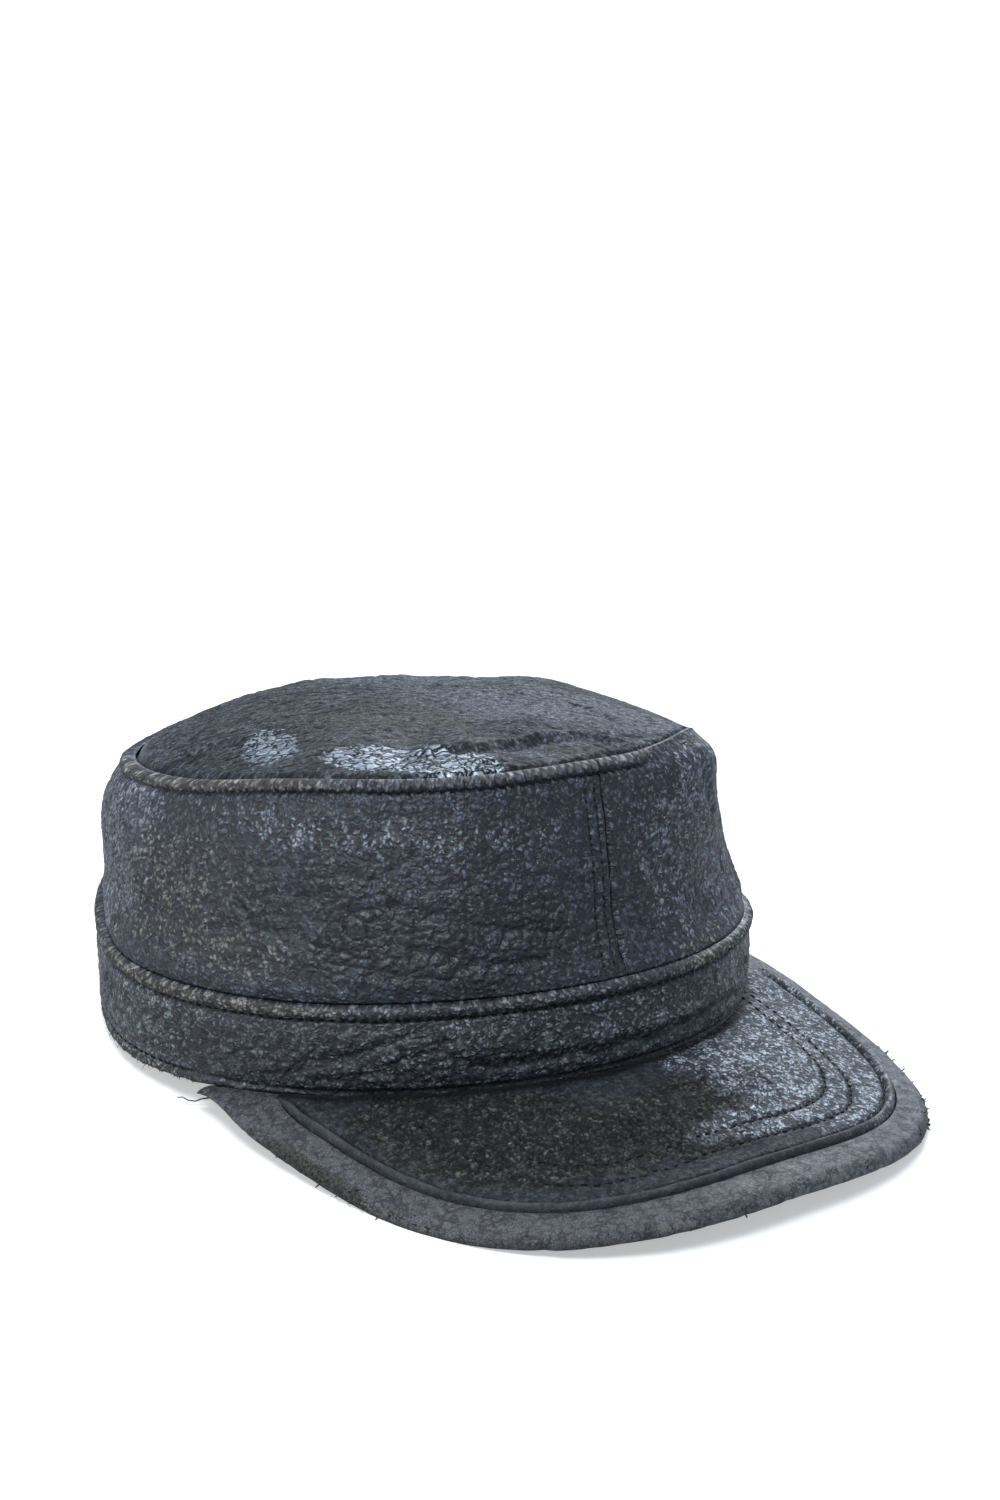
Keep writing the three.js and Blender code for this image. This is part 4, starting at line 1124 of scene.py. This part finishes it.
def strip_leather():
    """Smooth matte blue-grey leather, mottled, with pale scuffs along the rim, painted light on the tops of
    its fine grain, painted shade in its crevices and patches of painted pale sheen.
    """
    material, tree, shader, where = new_finish("smooth edging leather")
    grain = grain_at(tree, where, 1.7, 3.0, 2.2, 2.0)
    mottle = noise(tree, where, 0.16, 7.0, 0.7)
    nap = noise(tree, where, 1.4, 6.0, 0.7)
    rim = mask_of(tree, "rim wear")
    rub = times_plus(tree, rim, 0.3, times_plus(tree, mottle, 0.5, nap))
    rub = times(tree, ramp(tree, rub, 0.92, 1.08), ramp(tree, rim, 0.0, 0.3))
    # Patches of painted pale sheen
    painted_sheen = ramp(tree, reckon(tree, "ADD", mottle, mask_of(tree, "painted_sheen")), 0.6, 1.1)
    frayed = ramp(tree, reckon(tree, "ADD", mottle, mask_of(tree, "frayed")), 0.95, 1.15)
    fine = times_plus(tree, grain["Height"], 0.5, times(tree, nap, 0.5))
    # Painted light on the tops of the fine grain
    lit_level = ramp(tree, fine, 0.3, 0.7)
    colour = tint(tree, lit_level, (0.03, 0.032, 0.036, 1), (0.108, 0.112, 0.122, 1))
    pale = tint(tree, lit_level, (0.072, 0.077, 0.086, 1), (0.205, 0.22, 0.245, 1))
    colour = tint(tree, painted_sheen, colour, pale)
    fuzz = tint(tree, ramp(tree, nap, 0.4, 0.6), (0.004, 0.004, 0.004, 1), (0.06, 0.059, 0.05, 1))
    colour = tint(tree, frayed, colour, fuzz)
    colour = tint(tree, times(tree, rub, 0.8), colour, (0.17, 0.165, 0.15, 1))
    # Painted shade in the crevices of the grain
    colour = tint(tree, times(tree, grain["Crevice Shade"], 0.45), colour, (0.006, 0.007, 0.008, 1))
    shine = ramp(tree, mottle, 0.3, 0.7, 0.62, 0.5)
    shine = times_plus(tree, rub, 0.25, shine, clamp=True)
    polish = times(tree, lit_level, times_plus(tree, painted_sheen, 0.2, 0.08), clamp=True)
    finish_leather(tree, shader, colour, shine, polish, fine, 0.4, sheen=0.3)
    return material


directions = np.linspace(-PEAK_END, PEAK_END, 520)[:, None]
band_at = band_reach(directions)
seam_at = np.maximum(ridge_reach(directions) + 0.15, band_at - STRIP_TUCK)
# Past the two ends of the top leather, the strip is wide enough to run in under the band by itself
past_the_top = np.clip((np.abs(directions) - TOP_END) / math.radians(2) + 1, 0, 1)
seam_at = seam_at + (band_at - STRIP_TUCK - seam_at) * past_the_top
half = PEAK_THICKNESS / 2
rim_at = rim_reach(directions, band_at) - half
leg = np.minimum(TURNED_UNDER, rim_at - band_at)
top_share = np.linspace(1, 0.03, TOP_ROWS)
rim_turn = np.radians(np.linspace(90, -90, RIM_ROWS))
under_share = np.linspace(0.05, 1, 6)


def strip_side(thick):
    """A side of the strip, from the ridge's seam over the rim to the edge that is turned under."""
    on_top = rim_at + (seam_at - rim_at) * top_share
    round_rim = rim_at + (half - thick) * np.cos(rim_turn)
    depths = [
        thick + 0 * top_share,
        half - (half - thick) * np.sin(rim_turn),
        PEAK_THICKNESS - thick + 0 * under_share,
    ]
    distance = np.concatenate([on_top, round_rim, rim_at - leg * under_share], 1)
    return peak_point(directions + 0 * distance, distance, np.concatenate(depths)[None, :]), distance


outer, distance = strip_side(0)
inner, _ = strip_side(EDGE_LEATHER)
inner = inner[:, ::3]
row = np.arange(outer.shape[1])
round_the_rim = (row[None, :] - WORN_ROW) / 5.0
degrees = np.degrees(directions) + 0 * distance
u, v = degrees * 2, distance - rim_at
STRIP_CREASES = [
    (((88, -9), (84, -2), (80, 2)), 0.5, 1.3),
    (((78, -8), (75, 1)), 0.45, 1.2),
    (((66, -8), (70, 1)), 0.5, 1.3),
    (((-8, -8), (-4, 0)), 0.5, 1.4),
    (((-20, -6), (-15, 1)), 0.4, 1.3),
    (((-104, -5), (-96, 1)), 0.5, 1.3),
] + chance_creases(51, 60, (-170, 170), (-9, 1), 55, 7, 0.25, 1.0)
relief = creased(u + 1.2 * rumple(outer, 6, 52), v + rumple(outer, 6, 53), STRIP_CREASES)
relief += 0.35 * rumple(outer, 10, 54) + 0.15 * rumple(outer, 3.5, 55)
calmer_rim = 1 - 0.6 * np.clip((row - TOP_ROWS + 6) / 6, 0, 1)
relief *= np.clip((distance - seam_at) / 1.2, 0, 1) * (row <= TOP_ROWS + RIM_ROWS) * calmer_rim
relief -= 0.3 * np.exp(-(((distance - seam_at) / 0.8) ** 2)) * (row < TOP_ROWS)
outer = outer - outwards(outer, False) * relief[..., None]
wear = np.exp(-(round_the_rim**2)) * np.clip(0.55 + rumple(outer, 11, 56) + 0.6 * rumple(outer, 4, 57), 0, 1)
most_worn = spots(degrees, 0 * degrees, [(-30, 0, 34, 9, 0, 1.0), (30, 0, 9, 9, 0, 0.6)])
frayed = spots(degrees, 0 * degrees, [(-62, 0, 15, 9, 0, 0.7), (48, 0, 8, 9, 0, 0.5), (30, 0, 5, 9, 0, 0.6)])
strip_paint = {
    "frayed": frayed * np.exp(-((round_the_rim / 1.6) ** 4)),
    "rim wear": wear * (0.2 + 0.8 * most_worn),
    # Patches of painted pale sheen
    "painted_sheen": spots(degrees, v, [(60, -4, 46, 20, 0, 0.6), (10, -4, 22, 20, 0, 0.4)]),
}
strip_skin = (outer, degrees, 0 * degrees + row)
edge_strip = cut_piece(
    "leather_peak_edge_strip", outer, inner, False, u, v, strip_paint, (strip_leather(), flesh)
)
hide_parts("peak_edge_strip")

# Underside of the peak: one plain stiff layer, dull black, inside the turned edge of the strip.


def lining_board():
    material, tree, shader, where = new_finish("plain black underside")
    grain = grain_at(tree, where, 1.3, 2.4, 1.6, 2.0)
    mottle = noise(tree, where, 0.1, 5.0, 0.6)
    colour = tint(tree, ramp(tree, mottle, 0.3, 0.7), (0.012, 0.012, 0.013, 1), (0.03, 0.031, 0.033, 1))
    # Painted shade in the crevices of the grain
    colour = tint(tree, times(tree, grain["Crevice Shade"], 0.5), colour, (0.006, 0.006, 0.006, 1))
    shine = ramp(tree, mottle, 0.3, 0.7, 0.62, 0.75)
    finish_leather(tree, shader, colour, shine, ramp(tree, mottle, 0.9, 1.0), grain["Height"], 0.3)
    return material


directions = np.linspace(-UNDERSIDE_END, UNDERSIDE_END, 240)[:, None]
band_at = band_reach(directions)
rim_at = rim_reach(directions, band_at) - half
share = np.linspace(0, 1, 40)
distance = band_at + (rim_at - band_at) * share
board_top = peak_point(directions + 0 * distance, distance, PEAK_TOP_LEATHER + SEAM_GAP)
lower = peak_point(directions + 0 * distance, distance, PEAK_THICKNESS - EDGE_LEATHER - 2 * SEAM_GAP)
lower[..., 2] += 0.12 * rumple(lower, 12, 61)
board = lining_board()
underside = cut_piece(
    "leather_peak_underside", lower, board_top[:, ::4], False, directions * 100 + 0 * distance, distance,
    {}, (board, board),
)
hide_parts("peak_underside")

# Stitching: waxed black thread, sunk into the leather. Two rows run beside the front seam and one each
# side of the back seam, and single rows run under the band's rib, round its hem and along the peak's ridge.
BACK_ROWS = ((-284.6, "side_panel_right"), (284.6, "side_panel_left"))
SEAM_ROW_FOOT = BAND_HEIGHT + 5.5
BAND_END = 284
HEM_ROW_FROM = 120
THREAD = 0.3
STITCH_RINGS = ((0, 0.4, -0.5), (0.22, 0.95, 0.25), (0.5, 1.0, 0.5), (0.78, 0.95, 0.25), (1, 0.4, -0.5))


def nearest(skin, u, v):
    """The point of a finished leather side closest to a place on the flat leather, and its way out."""
    outer, along, across = skin
    column, row = np.unravel_index(np.argmin((along - u) ** 2 + (across - v) ** 2), along.shape)
    a = outer[(column + 1) % len(outer), row] - outer[column - 1, row]
    b = outer[column, min(row + 1, outer.shape[1] - 1)] - outer[column, max(row - 1, 0)]
    out = np.cross(a, b)
    return outer[column, row], out / np.linalg.norm(out)


def sew(skin, line, pitch, dash, facing):
    """Points and faces of a row of stitches along a line of places on the flat leather."""
    line = np.array(line, float)
    steps = np.concatenate([[0], np.cumsum(np.hypot(*np.diff(line, axis=0).T))])
    points, faces = [], []
    for start in np.arange(0.4, steps[-1] - dash, pitch):
        ends = []
        for at in (start, start + dash):
            ends.append(nearest(skin, np.interp(at, steps, line[:, 0]), np.interp(at, steps, line[:, 1])))
        (p0, n0), (p1, n1) = ends
        out = facing * (n0 + n1) / np.linalg.norm(n0 + n1)
        along = p1 - p0
        across = np.cross(out, along)
        across /= max(np.linalg.norm(across), 1e-6)
        first = len(points)
        for share, size, rise in STITCH_RINGS:
            centre = p0 + along * share + out * rise * THREAD
            for turn in np.arange(6) * math.pi / 3:
                points.append(centre + THREAD * size * (math.cos(turn) * across + math.sin(turn) * out))
        for ring in range(4):
            a = first + ring * 6
            faces += [(a + k, a + (k + 1) % 6, a + 6 + (k + 1) % 6, a + 6 + k) for k in range(6)]
        faces += [tuple(first + k for k in range(5, -1, -1)), tuple(first + 24 + k for k in range(6))]
    return points, faces


def waxed_thread():
    material, tree, shader, where = new_finish("waxed black thread")
    twist = noise(tree, where, 2.4, 2.0, 0.5)
    colour = tint(tree, ramp(tree, twist, 0.35, 0.65), (0.002, 0.0025, 0.003, 1), (0.012, 0.013, 0.016, 1))
    shine = ramp(tree, twist, 0.3, 0.7, 0.8, 0.65)
    finish_leather(tree, shader, colour, shine, ramp(tree, twist, 0.9, 1.0), twist, 0.08, sheen=0.15)
    return material


def gather(points, faces, more):
    """Adds the points and faces of one more row or strand to the lists."""
    more_points, more_faces = more
    faces += [tuple(k + len(points) for k in face) for face in more_faces]
    points += more_points


def loose_piece(name, points, faces, material):
    """A small piece of its own from points in the cap's frame."""
    mesh = bpy.data.meshes.new(name)
    mesh.from_pydata(lay_down(points).tolist(), [], faces)
    mesh.polygons.foreach_set("use_smooth", np.ones(len(faces), bool))
    mesh.materials.append(material)
    piece = bpy.data.objects.new(name, mesh)
    bpy.context.scene.collection.objects.link(piece)
    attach(piece, "root")
    return piece


thread = waxed_thread()
rows = {"front_seam_stitches": [], "back_seam_stitches": [], "band_stitches": [], "peak_stitches": []}
for beside in FRONT_ROWS:
    line = [(beside, SEAM_ROW_FOOT), (beside, 60), (beside, 79)]
    rows["front_seam_stitches"].append((panel_skins["side_panel_right"], line, FRONT_PITCH, 1.4, -1))
for beside, panel_name in BACK_ROWS:
    line = [(beside, SEAM_ROW_FOOT), (beside, 60)]
    facing = -1 if beside < 0 else 1
    rows["back_seam_stitches"].append((panel_skins[panel_name], line, FRONT_PITCH, 1.4, facing))
rows["band_stitches"].append((band_skin, [(-BAND_END, RIB_ROW), (BAND_END, RIB_ROW)], 2.7, 1.8, 1))
for ends in ((-BAND_END, -HEM_ROW_FROM), (HEM_ROW_FROM, BAND_END)):
    rows["band_stitches"].append((band_skin, [(end, HEM_ROW) for end in ends], 3.0, 2.0, 1))
for outline, ends in ((OUTER_ROW, 62), (INNER_ROW, 60)):
    turns = np.radians(np.linspace(-ends, ends, 90))
    across, ahead = peak_plan(turns, reach(outline, turns))
    rows["peak_stitches"].append((peak_skin, np.stack([across, ahead], -1), 3.2, 1.9, 1))
turns = np.radians(np.linspace(-68, 74, 120))
across, ahead = peak_plan(turns, ridge_reach(turns) - RIDGE_STITCHES)
rows["peak_stitches"].append((peak_skin, np.stack([across, ahead], -1), 3.0, 1.9, 1))
for name, sewn in rows.items():
    points, faces = [], []
    for row in sewn:
        gather(points, faces, sew(*row))
    loose_piece(name, points, faces, thread)

# Frayed fibres: short strands that stand out of the raw cut edges, where the rim of the peak and the hem
# are worn through. One sewing thread has come loose at the wearer's right temple.


def strand(path, thick, end_thick):
    """A thin tapering strand through the given points, with a square section."""
    path = np.array(path, float)
    points, faces = [], []
    for k, at in enumerate(path):
        along = path[min(k + 1, len(path) - 1)] - path[max(k - 1, 0)]
        side = np.cross(along, (0.3, 0.2, 0.9))
        side /= max(np.linalg.norm(side), 1e-6)
        over = np.cross(along, side)
        over /= max(np.linalg.norm(over), 1e-6)
        size = thick + (end_thick - thick) * k / (len(path) - 1)
        points += [at + size * side, at + size * over, at - size * side, at - size * over]
        if k:
            a = 4 * k - 4
            faces += [(a + j, a + (j + 1) % 4, a + 4 + (j + 1) % 4, a + 4 + j) for j in range(4)]
    last = 4 * len(path) - 4
    faces += [(3, 2, 1, 0), (last, last + 1, last + 2, last + 3)]
    return points, faces


def dark_fibre():
    material, tree, shader, where = new_finish("frayed leather fibres")
    shade = noise(tree, where, 0.8, 3.0, 0.6)
    colour = tint(tree, ramp(tree, shade, 0.35, 0.65), (0.006, 0.006, 0.006, 1), (0.075, 0.073, 0.06, 1))
    shine = ramp(tree, shade, 0.3, 0.7, 0.9, 0.75)
    finish_leather(tree, shader, colour, shine, ramp(tree, shade, 0.9, 1.0), shade, 0.05, sheen=0.15)
    return material


chance = np.random.default_rng(61)
points, faces = [], []
FRAYED_RIM = (
    (-57, 8, 60), (50, 5, 50), (39, 0.6, 14), (33, 0.5, 14), (27, 0.4, 12), (12, 0.5, 8), (-20, 20, 16),
)
for middle, spread, count in FRAYED_RIM:
    for _ in range(count):
        at, out = nearest(strip_skin, chance.normal(middle, spread), chance.uniform(24, 34))
        if out @ np.array([at[0], at[1] + 60, 0]) < 0:
            out = -out
        length = chance.uniform(0.15, 0.6)
        lean = chance.normal(0, 0.9, 3)
        path = [at - 0.3 * out, at + out * length * 0.5 + lean * 0.3, at + (out + lean) * length]
        gather(points, faces, strand(path, 0.26, 0.1))
for _ in range(60):
    at, out = nearest(band_skin, chance.uniform(-170, -118), chance.uniform(-0.2, 0.8))
    length = chance.uniform(0.2, 0.8)
    lean = chance.normal(0, 0.6, 3) - np.array([0, 0, 0.5])
    path = [at - 0.2 * out, at + out * length * 0.3 + lean * 0.3, at + (out * 0.5 + lean) * length]
    gather(points, faces, strand(path, 0.1, 0.03))
loose_piece("frayed_fibres", points, faces, dark_fibre())

temple, out = nearest(band_skin, -76 * MM_PER_DEGREE, 0.4)
temple = temple + np.array([2.5, -3.7, -3.0])
side, down = np.array([-0.77, 0.63, 0.0]), np.array([0, 0, -1.0])
path = [temple + 1.5 * down - 2 * side, temple + 1.9 * down + 0.8 * side, temple + 2.6 * down + 2.6 * side]
path += [temple + 2.4 * down + 4.4 * side, temple + 1.5 * down + 6.0 * side, temple + 1.6 * down + 7.4 * side]
points, faces = strand(path, 0.2, 0.13)
loose_piece("loose_thread", points, faces, thread)

# Table: a plain white surface, under four soft lights and white walls all round. It glows a little to the
# camera, but not under the crown, where the glow would show through the open front seam.
floor_mesh = bpy.data.meshes.new("table")
floor_mesh.from_pydata([(-40, -40, 0), (40, -40, 0), (40, 40, 0), (-40, 40, 0)], [], [(0, 1, 2, 3)])
table = bpy.data.objects.new("table", floor_mesh)
bpy.context.scene.collection.objects.link(table)
paper = bpy.data.materials.new("white paper")
paper.use_nodes = True
tree = paper.node_tree
surface = tree.nodes["Principled BSDF"]
surface.inputs["Roughness"].default_value = 0.9
surface.inputs["Specular IOR Level"].default_value = 0.1
seen = place(tree, "ShaderNodeLightPath", {}).outputs["Is Camera Ray"]
tree.links.new(tint(tree, seen, (0.5, 0.5, 0.5, 1), (0.6, 0.6, 0.59, 1)), surface.inputs["Base Color"])
spread = place(tree, "ShaderNodeTexCoord", {}).outputs["Object"]
far = vector(tree, "DISTANCE", spread, (0, 0, 0), "Value")
glow = times(tree, ramp(tree, far, 0.15, 1.2, 0.45, 1.0), seen)
from_crown = vector(tree, "DISTANCE", spread, (0, 0.03, 0), "Value")
glow = times(tree, glow, ramp(tree, from_crown, 0.07, 0.08))
tree.links.new(tint(tree, glow, (0, 0, 0, 1), (1, 1, 1, 1)), surface.inputs["Emission Color"])
surface.inputs["Emission Strength"].default_value = 1.0
floor_mesh.materials.append(paper)

# The room: white behind and beside the cap, and dimmer and cooler in front of it
room = bpy.data.worlds.new("white room")
room.use_nodes = True
tree = room.node_tree
room_light = tree.nodes["Background"]
way = place(tree, "ShaderNodeTexCoord", {}).outputs["Generated"]
ahead = vector(tree, "DOT_PRODUCT", way, (-0.62, -0.71, 0.33), "Value")
strength = ramp(tree, ahead, -0.1, 0.85, 0.62, 0.3)
seen = place(tree, "ShaderNodeLightPath", {}).outputs["Is Camera Ray"]
strength = place(tree, "ShaderNodeMix", {0: seen, 2: strength, 3: 1.05}, data_type="FLOAT").outputs[0]
shade = tint(tree, seen, (0.82, 0.95, 1.18, 1), (1, 1, 1, 1))
tree.links.new(strength, room_light.inputs["Strength"])
tree.links.new(shade, room_light.inputs["Color"])
bpy.context.scene.world = room


def soft_light(name, at, towards, size, power, colour):
    lamp = bpy.data.lights.new(name, "AREA")
    lamp.shape = "RECTANGLE"
    lamp.size, lamp.size_y = size
    lamp.energy = power
    lamp.color = colour
    light = bpy.data.objects.new(name, lamp)
    bpy.context.scene.collection.objects.link(light)
    forward = np.array(towards, float) - np.array(at, float)
    forward /= np.linalg.norm(forward)
    side = np.cross(forward, (0, 0, 1))
    side /= np.linalg.norm(side)
    over = np.cross(side, forward)
    turn = Matrix((side, over, -forward)).transposed().to_4x4()
    light.matrix_world = Matrix.Translation(at) @ turn
    light.visible_camera = False


soft_light("front top light", (-0.55, -0.35, 1.15), (0, 0, 0.05), (0.5, 0.5), 15, (0.95, 0.98, 1.0))
soft_light("back right light", (1.2, 1.0, 0.7), (0, 0, 0.05), (0.8, 0.6), 11, (0.92, 0.97, 1.0))
soft_light("left light", (-1.2, 0.5, 0.5), (0, 0, 0.05), (0.6, 0.5), 5, (1.0, 0.98, 0.95))
soft_light("top light", (0.15, 0.3, 1.3), (0, 0, 0.05), (0.5, 0.4), 6, (1.0, 1.0, 1.0))

# Camera: as the photograph was taken, a long lens a little above the peak on the wearer's right
lens = bpy.data.cameras.new("camera")
lens.sensor_fit = "AUTO"
lens.sensor_width = 36
lens.lens = 72.117
camera = bpy.data.objects.new("camera", lens)
bpy.context.scene.collection.objects.link(camera)
camera.matrix_world = Matrix((
    (0.767316, 0.150060, -0.623465, -0.51299),
    (-0.636609, 0.295249, -0.712430, -0.58602),
    (0.077170, 0.943563, 0.322079, 0.35054),
    (0, 0, 0, 1),
))
bpy.context.scene.camera = camera
bpy.context.scene.view_settings.view_transform = "Standard"
